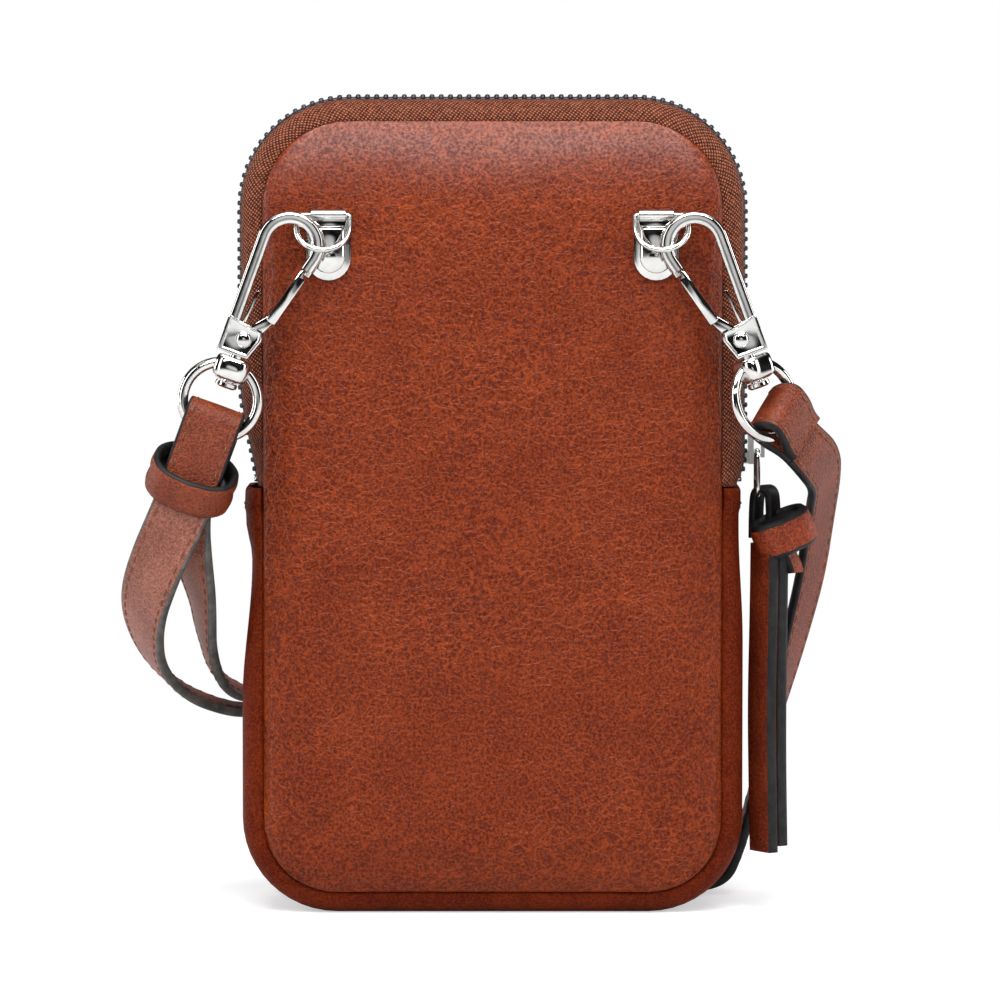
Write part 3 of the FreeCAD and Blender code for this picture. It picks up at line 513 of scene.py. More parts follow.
def repeat_tree(name, material):
    """Geometry Nodes that put a small rounded block on each point of a guide."""
    tree = bpy.data.node_groups.new(name, "GeometryNodeTree")
    tree.interface.new_socket("Guide", in_out="INPUT", socket_type="NodeSocketGeometry")
    for size in ("Length", "Width", "Height", "Crease"):
        tree.interface.new_socket(size, in_out="INPUT", socket_type="NodeSocketFloat")
    tree.interface.new_socket("Blocks", in_out="OUTPUT", socket_type="NodeSocketGeometry")
    start, sizes, block, soft, along, out, turn, put, real, paint, smooth, end = (
        tree.nodes.new(kind) for kind in (
            "NodeGroupInput", "ShaderNodeCombineXYZ", "GeometryNodeMeshCube", "GeometryNodeSubdivisionSurface",
            "GeometryNodeInputNamedAttribute", "GeometryNodeInputNamedAttribute", "FunctionNodeAxesToRotation",
            "GeometryNodeInstanceOnPoints", "GeometryNodeRealizeInstances", "GeometryNodeSetMaterial",
            "GeometryNodeSetShadeSmooth", "NodeGroupOutput"))
    turn.primary_axis, turn.secondary_axis = "Z", "X"
    soft.inputs["Level"].default_value = 1
    paint.inputs["Material"].default_value = material
    for attribute, label in ((along, "along"), (out, "out")):
        attribute.data_type = "FLOAT_VECTOR"
        attribute.inputs["Name"].default_value = label
    for source, output, target, socket in (
            (start, "Length", sizes, 0), (start, "Width", sizes, 1), (start, "Height", sizes, 2),
            (sizes, 0, block, "Size"), (block, "Mesh", soft, "Mesh"), (start, "Crease", soft, "Edge Crease"),
            (out, 0, turn, "Primary Axis"), (along, 0, turn, "Secondary Axis"), (start, "Guide", put, "Points"),
            (soft, "Mesh", put, "Instance"), (turn, 0, put, "Rotation"), (put, "Instances", real, "Geometry"),
            (real, "Geometry", paint, "Geometry"), (paint, "Geometry", smooth, "Geometry"),
            (smooth, "Geometry", end, "Blocks")):
        tree.links.new(source.outputs[output], target.inputs[socket])
    return tree


stitch_tree = repeat_tree("stitch_row", thread)
tooth_tree = repeat_tree("zip_tooth_row", teeth_plastic)


def repeated(name, tree, spots, sizes):
    """Blocks on spots, each a place with the directions along and out of the surface."""
    guide = bpy.data.meshes.new(name)
    guide.from_pydata([tuple(spot) for spot, along, out in spots], [], [])
    for label, index in (("along", 1), ("out", 2)):
        values = guide.attributes.new(label, "FLOAT_VECTOR", "POINT")
        values.data.foreach_set("vector", [number for spot in spots for number in spot[index]])
    piece = shown(name, guide)
    grow = piece.modifiers.new("repeat", "NODES")
    grow.node_group = tree
    for socket in tree.interface.items_tree:
        if socket.in_out == "INPUT" and socket.name in sizes:
            grow[socket.identifier] = sizes[socket.name]
    blocks = plain_mesh(piece).data
    material = blocks.materials[-1]
    blocks.materials.clear()
    blocks.materials.append(material)
    blocks.polygons.foreach_set("material_index", [0] * len(blocks.polygons))
    return piece


# Stage: camera, pale floor and soft light

stage_camera = bpy.data.cameras.new("stage_camera")
stage_camera.sensor_width = 36.0
camera_distance = 1.25
view_span = 0.2262
stage_camera.lens = 18.0 * camera_distance / (view_span / 2)
camera = shown("stage_camera", stage_camera)
aim = Vector((0.0017, -0.015, 0.0945))
rise = math.radians(3.5)
camera.location = aim + Vector((0.0, -math.cos(rise), math.sin(rise))) * camera_distance
camera.rotation_mode = "QUATERNION"
camera.rotation_quaternion = (aim - camera.location).to_track_quat("-Z", "Y")
bpy.context.scene.camera = camera
bpy.context.scene.view_settings.view_transform = "Standard"


def soft_lamp(name, place, target, width, height, power):
    light = bpy.data.lights.new(name, "AREA")
    light.shape = "RECTANGLE"
    light.size = width
    light.size_y = height
    light.energy = power
    lamp = shown(name, light)
    lamp.location = place
    lamp.rotation_mode = "QUATERNION"
    lamp.rotation_quaternion = (Vector(target) - Vector(place)).to_track_quat("-Z", "Y")


for lamp_row in (
        ("lamp_above", (0.0, -0.46, 1.0), (0.0, 0.0, 0.12), 0.9, 0.4, 13.0),
        ("lamp_strip", (0.0, -0.96, 0.75), (0.0, 0.0, 0.15), 1.0, 0.10, 5.0),
        ("lamp_left", (-0.85, -0.55, 0.45), (0.0, 0.0, 0.1), 0.35, 0.9, 3.2),
        ("lamp_right", (0.85, -0.55, 0.45), (0.0, 0.0, 0.1), 0.35, 0.9, 2.6),
        ("lamp_left_rim", (-0.9, 0.42, 0.15), (0.0, 0.0, 0.08), 0.28, 0.8, 4.5),
        ("lamp_right_rim", (0.9, 0.42, 0.15), (0.0, 0.0, 0.08), 0.28, 0.8, 4.5)):
    soft_lamp(*lamp_row)


def pale_world():
    """White to the camera. Metal sees the same white with the dark gaps between a studio's soft boxes."""
    world = bpy.data.worlds.new("pale_world")
    bpy.context.scene.world = world
    world.use_nodes = True
    sky = Nodes(world.node_tree)
    sky.tree.nodes.clear()
    way = sky.node("ShaderNodeTexCoord", {}, {}, "Generated")
    x, y, z = (sky.node("ShaderNodeSeparateXYZ", {}, {0: way}, axis) for axis in range(3))
    camera_ray, glossy_ray, through_ray = (
        sky.node("ShaderNodeLightPath", {}, {}, ray)
        for ray in ("Is Camera Ray", "Is Glossy Ray", "Is Transmission Ray"))
    facing = y.sum_with("ABSOLUTE", y, 0.0).rise(0.972, 0.995, 0.02, 0.8)
    above = z.rise(0.6, 0.9, 0.0, 0.8)
    sweep = z * 9.0 + x * 13.0 + 0.8
    shading = sweep.sum_with("SINE", sweep, 0.0).rise(-1.0, 0.5, 0.2, 1.0)
    shine = (facing.most(above) * shading).most(camera_ray)
    fill = sky.node("ShaderNodeBackground", {}, {"Color": (0.95, 0.97, 1.0, 1.0), "Strength": 0.36})
    white = sky.node("ShaderNodeBackground", {}, {"Color": (1.0, 1.0, 1.0, 1.0), "Strength": shine})
    seen = camera_ray.most(through_ray.most(glossy_ray))
    both = sky.node("ShaderNodeMixShader", {}, {0: seen, 1: fill, 2: white})
    end = sky.tree.nodes.new("ShaderNodeOutputWorld")
    sky.tree.links.new(both.socket, end.inputs[0])


def pale_floor():
    """Pale near the object, where its shadow lies, and white further off."""
    corners = [(-3, -3, 0), (3, -3, 0), (3, 3, 0), (-3, 3, 0)]
    finish = Finish("pale_floor", Base_Color=(0.7, 0.7, 0.7, 1.0), Roughness=0.9, Specular_IOR_Level=0.1)
    camera_ray = finish.node("ShaderNodeLightPath", {}, {}, "Is Camera Ray")
    reach = finish.node("ShaderNodeVectorMath", {"operation": "LENGTH"}, {0: finish.place()}, 1)
    glow = finish.node("ShaderNodeEmission", {}, {"Strength": camera_ray * 0.45})
    matt = Shade(finish, finish.shader.outputs[0])
    near = finish.node("ShaderNodeAddShader", {}, {0: matt, 1: glow})
    white = finish.node("ShaderNodeEmission", {}, {"Strength": 1.0})
    both = finish.node("ShaderNodeMixShader", {}, {0: reach.rise(0.08, 0.2) * camera_ray, 1: near, 2: white})
    finish.tree.links.new(both.socket, finish.tree.nodes["Material Output"].inputs[0])
    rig.stage(piece_of("floor", corners, [(0, 1, 2, 3)], [finish.material]))


pale_world()
pale_floor()


# Strap: smooth lines that follow the route's points, and flat strips along them

strap_half, strap_thick = 0.0065, 0.0011
stitch_row, stitch_lift, stitch_pitch = 0.0049, 0.00104, 0.0031
hank_plane = 0.0249
strap_half_section = [
    (-0.0059, 0.0011), (-0.0049, 0.00102), (-0.0040, 0.0011), (0.0, 0.00114), (0.0040, 0.0011), (0.0049, 0.00102),
    (0.0059, 0.0011), (0.00635, 0.0009), (0.0065, 0.0004), (0.0065, -0.0004), (0.00635, -0.0009)]
strap_section = strap_half_section + [(-u, -v) for u, v in strap_half_section]
face_sides = set(range(0, 6)) | set(range(11, 17))
strap_finish = [strap_leather, edge_paint, thread]
# The left legs' finish: leather and edge paint made paler as painted sheen.
leg_sheen_finish = [leg_sheen_leather, sheen_edge_paint, thread]


def smooth_line(points, fineness=10):
    """Points along the NURBS line that has these points as its control points."""
    curve = bpy.data.curves.new("line", "CURVE")
    curve.dimensions = "3D"
    curve.resolution_u = fineness
    spline = curve.splines.new("NURBS")
    spline.points.add(len(points) - 1)
    for control, place in zip(spline.points, points):
        control.co = (place[0], place[1], place[2], 1.0)
    spline.order_u = 3
    spline.use_endpoint_u = True
    holder = shown("line", curve)
    shape = holder.evaluated_get(bpy.context.evaluated_depsgraph_get())
    mesh = bpy.data.meshes.new_from_object(shape)
    line = [vertex.co.copy() for vertex in mesh.vertices]
    bpy.data.objects.remove(holder)
    bpy.data.curves.remove(curve)
    bpy.data.meshes.remove(mesh)
    return line


def headings(line):
    found = []
    for index in range(len(line)):
        before = line[max(index - 1, 0)]
        after = line[min(index + 1, len(line) - 1)]
        found.append((after - before).normalized())
    return found


def strip_line(points, widths):
    """A route's smooth line, and the strap's width direction at each of its points."""
    middle = smooth_line(points)
    edge = smooth_line([place + width * strap_half for place, width in zip(points, widths)])
    sides = []
    for place, rim, heading in zip(middle, edge, headings(middle)):
        side = rim - place
        sides.append((side - heading * side.dot(heading)).normalized())
    return middle, sides


def travelled(line):
    lengths = [0.0]
    for first, second in zip(line, line[1:]):
        lengths.append(lengths[-1] + (second - first).length)
    return lengths


def strip(name, line, sides, ways, section=strap_section, faces=face_sides, finish=strap_finish):
    rings = []
    spread = []
    for place, side, way, gone in zip(line, sides, ways, travelled(line)):
        normal = way.cross(side).normalized()
        rings.append([place + side * u + normal * v for u, v in section])
        spread.extend([(gone, u) for u, v in section])
    return sharpened(skin(name, rings, finish, faces, spread), 60.0)


def paced(line, pitch, start, end=math.inf):
    """Paces along a line: the number of the stretch that each is on, and how far along that stretch it is."""
    lengths = travelled(line)
    travel = start
    index = 0
    while travel < min(end, lengths[-1]):
        while lengths[index + 1] < travel:
            index += 1
        yield index, (travel - lengths[index]) / max(lengths[index + 1] - lengths[index], 1e-9)
        travel += pitch


def stitch_spots(line, sides, ways, row, lift):
    """Places of stitches along a strip, at a distance from its middle, on the side that lift names."""
    spots = []
    for index, share in paced(line, stitch_pitch, 0.0015, travelled(line)[-1] - 0.001):
        place = line[index].lerp(line[index + 1], share)
        side = sides[index].lerp(sides[index + 1], share).normalized()
        way = ways[index].lerp(ways[index + 1], share).normalized()
        normal = way.cross(side).normalized()
        spots.append((place + side * row + normal * lift, way, normal * math.copysign(1.0, lift)))
    return spots


stitch_sizes = {"Length": 0.0024, "Width": 0.0006, "Height": 0.00045, "Crease": 0.2}


def threaded(name, spots, finish):
    """Stitches as a part that can join a piece with this list of finishes, thread last."""
    rows = repeated(name, stitch_tree, spots, stitch_sizes)
    rows.data.materials.clear()
    for material in finish:
        rows.data.materials.append(material)
    rows.data.polygons.foreach_set("material_index", [len(finish) - 1] * len(rows.data.polygons))
    if not rows.data.uv_layers:
        rows.data.uv_layers.new(name="UVMap")
    return rows


def sewn_strip(name, line, sides, ways, finish=strap_finish):
    """A strip with a row of stitches near each edge, on both faces."""
    band = strip(name + "_band", line, sides, ways, finish=finish)
    spots = []
    for row in (-stitch_row, stitch_row):
        for lift in (-stitch_lift, stitch_lift):
            spots += stitch_spots(line, sides, ways, row, lift)
    return joined(name, band, threaded(name + "_rows", spots, finish))


# Where each hook's swivel is, and the strap's folded ends on the two rings

left_hook_place = Matrix.Translation((-0.0587, -0.022, 0.124)) @ turn_of(20.0, "Y")
mirror = Matrix.Scale(-1.0, 4, (1.0, 0.0, 0.0))
right_hook_place = mirror @ left_hook_place
ring_middle = Matrix.Translation((0.0, 0.0, -0.007))
right_ring_turn = -40.0
right_end_turn = turn_of(right_ring_turn, "Z") @ ring_middle @ turn_of(30.0, "Y") @ ring_middle.inverted()
right_end_place = right_hook_place @ right_end_turn
across_strap = Vector((1.0, 0.0, 0.0))


def folded_end(name, place, profile, sewn_across=False):
    """A strap end turned round its ring, with two rows of stitches across the sewn end where asked."""
    points = [place @ Vector((0.0, y, z)) for y, z in profile]
    width = (place.to_3x3() @ across_strap).normalized()
    line = smooth_line(points, 12)
    end = sewn_strip(name, line, [width] * len(line), headings(line))
    if not sewn_across:
        return end
    heading = (line[1] - line[0]).normalized()
    out = heading.cross(width).normalized()
    spots = []
    for row in (0.0016, 0.0030):
        for step in range(-1, 2):
            for face in (-1.0, 1.0):
                spot = line[0] + heading * row + width * stitch_pitch * step + out * face * 0.00108
                spots.append((spot, width, out * face))
    return joined(name, end, threaded(name + "_cross", spots, strap_finish))


left_end = folded_end("strap_left_fold", left_hook_place, [
    (-0.0037, -0.0310), (-0.0037, -0.0220), (-0.0040, -0.0140), (-0.0038, -0.0092), (0.0038, -0.0092),
    (0.0040, -0.0140), (0.0037, -0.0220), (0.0037, -0.0310)])
right_end = folded_end("strap_right_fold", right_end_place, [
    (-0.0011, -0.0204), (-0.0011, -0.0184), (-0.0036, -0.0140), (-0.0040, -0.0092), (0.0040, -0.0092),
    (0.0036, -0.0140), (0.0011, -0.0184), (0.0011, -0.0208)], True)
dressed(left_end, "left_swivel", "leather", "strap_left_end")
dressed(right_end, "right_swivel", "leather", "strap_right_end")


# The strap's free stretches, each in three pieces that bend with the hook's joints

def leaving(place, y, z):
    """Where a stretch leaves a folded end, the next point of its route, and its width's direction."""
    width = (place.to_3x3() @ across_strap).normalized()
    if width.x < 0:
        width = -width
    return place @ Vector((0.0, y, z)), place @ Vector((0.0, y, z - 0.0036)), width


def free_stretch(name, side, start, route, last, end_width):
    """The stretch's three pieces, and the line of the last one, which ends in the hank."""
    first, lead, width = start
    points = [first, lead] + [Vector(place[:3]) for place in route] + [Vector(place) for place in last]
    widths = [width, width] + [Vector(place[3]) for place in route] + [Vector(end_width)] * len(last)
    line, sides = strip_line(points, widths)
    ways = headings(line)
    lengths = travelled(line)
    bodies = [side + "_swivel", side + "_hook", side + "_dring", "pouch"]
    # The left stretches take the paler leg finish: painted sheen.
    finishes = leg_sheen_finish if side == "left" else strap_finish
    cuts = [0]
    for share in (0.13, 0.55 if side == "left" else 0.40):
        cuts.append(min(range(len(line)), key=lambda item: abs(lengths[item] - share * lengths[-1])))
    cuts.append(len(line) - 1)
    made = []
    for number in range(3):
        part = slice(cuts[number], cuts[number + 1] + 1)
        piece = sewn_strip(name + "_" + "abc"[number], line[part], sides[part], ways[part], finishes)
        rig.replaces(piece, name)
        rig.slot(piece, "leather")
        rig.blend(piece, bodies[number], bodies[number + 1], line[cuts[number]], line[cuts[number + 1]])
        made.append(piece)
    return made, line[cuts[2]:]


right_leg, right_leg_line = free_stretch(
    "strap_right_leg", "right", leaving(right_end_place, 0.0011, -0.0208), [
        (0.0756, -0.0060, 0.1012, (0.45, 0.66, 0.60)), (0.0760, 0.0046, 0.0952, (0.50, 0.78, 0.35)),
        (0.0752, 0.0126, 0.0864, (0.48, 0.86, 0.15)), (0.0738, 0.0184, 0.0745, (0.48, 0.87, 0.05)),
        (0.0704, 0.0224, 0.0600, (0.42, 0.90, 0.0)), (0.0660, 0.0246, 0.0420, (0.22, 0.97, 0.0)),
        (0.0612, hank_plane, 0.0240, (0.0, 1.0, 0.0)), (0.0576, hank_plane, 0.0100, (0.0, 1.0, 0.0))],
    [(0.0536, hank_plane, 0.0020), (0.0460, hank_plane, 0.0020)], (0.0, 1.0, 0.0))
left_inner, _ = free_stretch(
    "strap_left_inner", "left", leaving(left_hook_place, 0.0037, -0.031), [
        (-0.0683, -0.0145, 0.0815, (0.62, -0.78, 0.0)), (-0.0666, -0.0050, 0.0705, (0.32, -0.95, 0.0)),
        (-0.0660, 0.0060, 0.0600, (0.16, -0.98, 0.0)), (-0.0635, 0.0170, 0.0508, (0.08, -1.0, 0.0)),
        (-0.0574, 0.0236, 0.0466, (0.0, -1.0, 0.0))],
    [(-0.0516, hank_plane, 0.0452), (-0.0460, hank_plane, 0.0452)], (0.0, -1.0, 0.0))
tail, _ = free_stretch(
    "strap_tail", "left", leaving(left_hook_place, -0.0037, -0.031), [
        (-0.0760, -0.0220, 0.0800, (0.9, -0.42, -0.1)), (-0.0800, -0.0115, 0.0685, (0.6, -0.8, 0.0)),
        (-0.0790, 0.0020, 0.0575, (0.25, -0.97, 0.0)), (-0.0725, 0.0140, 0.0486, (0.08, -1.0, 0.0)),
        (-0.0628, 0.0225, 0.0436, (0.0, -1.0, 0.0))],
    [(-0.0544, hank_plane, 0.0427), (-0.0376, hank_plane, 0.0427)], (0.0, -1.0, 0.0))


# The put-away hank behind the pouch, and its tie

hank_reach, hank_bend = 0.0460, 0.0496


def hank_route():
    """Seven runs to and fro, each above the last."""
    points = []
    for run in range(7):
        level = 0.0020 + 0.0072 * run
        way = 1 if run % 2 == 0 else -1
        slack = 0.0006 * (run % 3)
        if run > 0:
            points.append((way * hank_bend, hank_plane, level))
        points.append((way * hank_reach, hank_plane, level))
        points.append((-way * (hank_reach - slack * (run < 6)), hank_plane, level))
        if run < 6:
            points.append((-way * hank_bend, hank_plane, level))
    return points


hank_line = smooth_line(hank_route(), 8)
strap_hank = sewn_strip("strap_put_away_hank", hank_line, [Vector((0.0, 1.0, 0.0))] * len(hank_line),
                        headings(hank_line))
dressed(strap_hank, "pouch", "leather", "strap_hank")


def loop_band(name, place, half_x, half_y, radius, section, faces, finish, bulge=0.0):
    """A closed band round the place's Z axis, on a rounded oblong. The section gives (out, up)."""
    line = []
    flat_x, flat_y = half_x - radius, half_y - radius
    for corner, (sign_x, sign_y) in enumerate(((1, 1), (-1, 1), (-1, -1), (1, -1))):
        for step in range(9):
            out = Vector((*compass(90.0 * corner + 11.25 * step), 0.0))
            line.append((Vector((sign_x * flat_x, sign_y * flat_y, 0.0)) + out * radius, out))
        if corner in (0, 2):
            for step in range(1, 6):
                share = step / 6.0
                swell = bulge * math.sin(math.pi * share)
                spot = Vector((sign_x * flat_x * (1.0 - 2.0 * share), sign_y * (half_y + swell), 0.0))
                line.append((spot, Vector((0.0, sign_y, 0.0))))
    rings = []
    for spot, out in line:
        rings.append([place @ (spot + out * o + Vector((0.0, 0.0, u))) for o, u in section])
    rings.append(rings[0])
    return skin(name, rings, finish, faces, [(0.0, 0.0)] * len(rings) * len(section), capped=False)


keeper_section = [
    (0.0008, -0.0036), (0.0011, -0.0020), (0.0007, 0.0), (0.0011, 0.0020), (0.0008, 0.0036), (0.0004, 0.0040),
    (-0.0003, 0.0041), (-0.0008, 0.0036), (-0.0008, -0.0036), (-0.0003, -0.0041), (0.0004, -0.0040)]
keeper_place = left_hook_place @ Matrix.Translation((0.0, 0.0, -0.026)) @ turn_of(27.0, "X")
# The keeper's outer face is leather. Its edges and its inner face take the black edge paint, which on the inner face
# is painted shade inside the loop.
keeper = loop_band("strap_keeper_loop", keeper_place, 0.0090, 0.0078, 0.0068, keeper_section, {0, 1, 2, 3},
                   [strap_leather, edge_paint], 0.0004)
dressed(keeper, "keeper", "leather", "strap_keeper")

tie_section = [(0.0003, -0.0043), (0.0004, 0.0), (0.0003, 0.0043), (0.0, 0.0045), (-0.0003, 0.0043),
               (-0.0003, -0.0043), (0.0, -0.0045)]
tie_place = Matrix.Translation((0.0, hank_plane, 0.0237)) @ turn_of(90.0, "Y")
hank_tie = loop_band("hank_tie_band", tie_place, 0.0232, 0.0070, 0.0024, tie_section, {0, 1, 5},
                     [tie_cloth, tie_cloth])
dressed(hank_tie, "pouch", "lining", "hank_tie")

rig.cord(strap_hank, exit=hank_line[0], length=travelled(hank_line)[-1], diameter=0.013, far_end="object",
        stiffness="medium", lay="coiled", path=hank_line,
        with_pieces=left_inner + right_leg[:2] + tail + [left_end, right_end, keeper, hank_tie,
                                                         bpy.data.objects["strap_stud"]])
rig.cord(right_leg[2], exit=right_leg_line[0], length=travelled(right_leg_line)[-1], diameter=0.013,
        far_end="object", stiffness="medium", lay="hanging", path=right_leg_line)


# Pouch outline: inset copies of the panel's outline, all with the same number of points

seam_plane, pad_plane = 0.0130, 0.01245
lining_out, lining_in = 0.0124, 0.0117
panel_half = 0.052
panel_low, panel_high = 0.005, 0.180
top_round, base_round = 0.0195, 0.0165


def outline(inset):
    """Points (x, z) and outward directions round the panel's outline, from the base's middle to the right."""
    half = panel_half - inset
    low, high = panel_low + inset, panel_high - inset
    low_round = max(base_round - inset, 0.0)
    high_round = max(top_round - inset, 0.0)
    corners = [(half - low_round, low + low_round, low_round, -90.0),
               (half - high_round, high - high_round, high_round, 0.0),
               (high_round - half, high - high_round, high_round, 90.0),
               (low_round - half, low + low_round, low_round, 180.0)]
    places = []
    sides = [20, 54, 40, 54, 20]
    before = (0.0, low)
    for number, (x, z, radius, start) in enumerate(corners):
        arc = []
        for step in range(13):
            across, up = compass(start + 7.5 * step)
            arc.append((x + radius * across, z + radius * up, across, up))
        first = arc[0]
        for step in range(sides[number]):
            share = step / sides[number]
            places.append((before[0] + (first[0] - before[0]) * share,
                           before[1] + (first[1] - before[1]) * share, first[2], first[3]))
        places.extend(arc[:-1])
        before = arc[-1]
    for step in range(sides[4]):
        share = step / sides[4]
        places.append((before[0] * (1.0 - share), low, 0.0, -1.0))
    return places


def crowned(share, power):
    """How far up a rounding is, from 0 at its edge to 1 where it ends."""
    return (1.0 - (1.0 - min(share, 1.0)) ** power) ** (1 / power)


hanger_x, hanger_level = 0.0369, 0.1589
press_drop = 0.004
hanger_spots = [Vector((-hanger_x, 0.0, hanger_level)), Vector((hanger_x, 0.0, hanger_level))]


def panel_rise(x, z, inset, pressed):
    """How far the panel stands out of its seam's plane."""
    share = min(inset / (0.0062 + 0.0022 * max(0.0, min(1.0, (0.024 - z) / 0.014))), 1.0)
    crown = 0.0040 * crowned(share, 2.2) * crowned((panel_high - z) / 0.022, 1.35)
    dome = 0.0003 * min(inset / 0.045, 1.0) ** 1.4
    broad = noise.noise(Vector((x * 34.0, 3.1, z * 30.0))) * 0.00032
    narrow = noise.noise(Vector((x * 90.0, 7.7, z * 80.0))) * 0.00012
    rise = crown + dome + (broad + narrow) * share
    if pressed:
        for spot in hanger_spots:
            near = max(0.0, 1.0 - math.hypot(x - spot.x, z - spot.z + press_drop) / 0.014)
            rise = min(rise, 0.0040) * near + rise * (1.0 - near) - 0.0002 * near
    return rise


sheet_insets = [0.0520, 0.0500, 0.0440, 0.0370, 0.0300, 0.0230, 0.0160, 0.0100, 0.0050, 0.0030]
crown_insets = [
    0.0, 0.00015, 0.0004, 0.0008, 0.0013, 0.0019, 0.0026, 0.0034, 0.0043, 0.0053, 0.0064, 0.0076, 0.009, 0.0106,
    0.0124, 0.0144, 0.0168, 0.0196, 0.0228, 0.0262, 0.0298, 0.0336, 0.0376, 0.0418, 0.0462, 0.0500, 0.0520]


def sheet(name, rings, finish):
    """A flat-lying piece over rings, with its UV from the front."""
    return skin(name, rings, [finish], None, [(x, z) for ring in rings for x, y, z in ring], 1e-5)


def flat_rings(side, levels):
    """Rings of the outline, at each level's inset and depth."""
    return [[(x, side * depth, z) for x, z, u, v in outline(inset)] for inset, depth in levels]


def padded_panel(name, side, pressed):
    rings = flat_rings(side, [(inset, pad_plane) for inset in sheet_insets + [0.0008]] + [(0.0002, 0.0126)])
    for inset in crown_insets:
        rings.append([(x, side * (seam_plane + panel_rise(x, z, inset, pressed)), z)
                      for x, z, u, v in outline(inset)])
    return swollen(sheet(name, rings, panel_leather), pressed)


swell_cap, swell_frames = 0.0009, 20


def swollen(panel, pressed):
    """The panel blown up as cloth over its pad, held at its seam and under the hangers."""
    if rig.quick():
        return panel
    before = [vertex.co.copy() for vertex in panel.data.vertices]
    held = panel.vertex_groups.new(name="held")
    for index, spot in enumerate(before):
        near = min(math.hypot(spot.x - hanger.x, spot.z - hanger.z + press_drop) for hanger in hanger_spots)
        if abs(spot.y) < 0.0136 or (pressed and near < 0.011):
            held.add([index], 1.0, "REPLACE")
    cloth = panel.modifiers.new("swell", "CLOTH")
    cloth.settings.quality = 4
    cloth.settings.vertex_group_mass = "held"
    cloth.settings.use_pressure = True
    cloth.settings.uniform_pressure_force = 4.0
    cloth.settings.effector_weights.gravity = 0.0
    cloth.collision_settings.use_collision = False
    cloth.point_cache.frame_start = 1
    cloth.point_cache.frame_end = swell_frames
    for number in range(1, swell_frames + 1):
        bpy.context.scene.frame_set(number)
    shape = panel.evaluated_get(bpy.context.evaluated_depsgraph_get()).to_mesh()
    after = [vertex.co.copy() for vertex in shape.vertices]
    panel.modifiers.clear()
    panel.vertex_groups.clear()
    bpy.context.scene.frame_set(1)
    for vertex, first, second in zip(panel.data.vertices, before, after):
        move = second - first
        vertex.co = first + move * min(1.0, swell_cap / max(move.length, 1e-9))
    return panel


hinge_start, hinge_end = Vector((0.0, 0.017, 0.104)), Vector((0.0, 0.017, 0.116))


def folding(piece, slot, *nodes):
    """Dresses a piece that bends with the flap, across its fold line."""
    if nodes:
        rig.replaces(piece, *nodes)
    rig.slot(piece, slot)
    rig.blend(piece, "pouch", "front_flap", hinge_start, hinge_end)


back_panel = padded_panel("back_padded_panel", -1.0, True)
dressed(back_panel, "pouch", "leather", "back_panel", "back_pad")
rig.padded(back_panel, 0.6)
front_panel = padded_panel("front_padded_panel", 1.0, False)
folding(front_panel, "leather", "front_lower_panel", "front_lower_pad", "flap_panel", "flap_pad")
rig.padded(front_panel, 0.6)


def lining_sheet(name, side):
    levels = [(inset, lining_out) for inset in sheet_insets]
    levels += [(0.0012, lining_out), (0.0010, 0.0121), (0.0012, 0.0118)]
    levels += [(inset, lining_in) for inset in reversed(sheet_insets)]
    return sheet(name, flat_rings(side, levels), lining_cloth)


dressed(lining_sheet("back_lining_cloth", -1.0), "pouch", "lining", "back_lining")
folding(lining_sheet("front_lining_cloth", 1.0), "lining", "front_lower_lining", "flap_lining")


# Band between the panels: leather gusset below, zip tapes above

crest = 0.0050
shoulder = 0.0049
band_edge = 0.0131
zip_low, hem_top, near_end = 0.0974, 0.0970, 0.0004


def smoothed(value, low, high):
    share = max(0.0, min(1.0, (value - low) / (high - low)))
    return share * share * (3.0 - 2.0 * share)


def crest_share(x, z):
    """The zip's ends dip towards the panels' seam where the gusset's hems hold them."""
    if x < 0:
        return 0.22 + 0.78 * smoothed(z, 0.094, 0.121)
    return 0.55 + 0.45 * smoothed(z, 0.094, 0.1035)


def band_section(last, leather):
    """Section (y, out) of a band's outer side and then its inner side, from its edge to a last y."""
    arc = [compass(90.0 * step / 8) for step in range(9)]
    outer = [(0.0081 + shoulder * across, 0.0001 + shoulder * up) for across, up in arc]
    outer = [spot for spot in outer if spot[0] <= band_edge]
    outer += [(y, crest) for y in (0.0055, 0.0030) if y > last] + [(last, crest)]
    inner = [(max(y - leather * 0.8, last) if out < crest - 0.001 else y, max(out - leather, -0.0012))
             for y, out in outer]
    return outer, list(reversed(inner))


def upper_order(place):
    x, z, u, v = place
    return math.atan2(x, z - hem_top) if z > 0.0975 else x


def upper_run():
    """The outline above the hems, from the left end over the top to the right end."""
    found = [place for place in outline(0.0) if place[1] > zip_low + near_end]
    return ([(-panel_half, zip_low, -1.0, 0.0)] + sorted(found, key=upper_order)
            + [(panel_half, zip_low, 1.0, 0.0)])


def distances(run):
    """How far along a run of places each of them is, by the first two numbers of a place."""
    gone = [0.0]
    for first, second in zip(run, run[1:]):
        gone.append(gone[-1] + math.hypot(second[0] - first[0], second[1] - first[1]))
    return gone


def band_ring(place, section, full, side=1.0):
    """A section at a place of the outline, with what stands out of it drawn in to a share of its full height."""
    x, z, u, v = place
    ring = []
    for y, out in section:
        reach = out * full if out > 0 else out
        ring.append((x + u * reach, side * y, z + v * reach))
    return ring


def zip_tape(name, side):
    outer, inner = band_section(0.0010, 0.0008)
    rings = [band_ring(place, outer + inner, crest_share(*place[:2]), side) for place in zip_run]
    spread = [(travel, across) for travel in distances(zip_run) for across in distances(outer + inner)]
    return skin(name, rings, [tape_weave], None, spread, 1e-7)


zip_run = upper_run()
dressed(zip_tape("zip_back_tape", -1.0), "pouch", "zip_tape", "zip_tape_back")
folding(zip_tape("zip_front_tape", 1.0), "zip_tape", "zip_tape_front", "zip_tape_front_ends")

tooth_sizes = {"Length": 0.00125, "Width": 0.0036, "Height": 0.0019, "Crease": 0.6}
tooth_pitch, tooth_start, tooth_row = 0.0021, 0.0035, 0.0017
fold_level = 0.1105


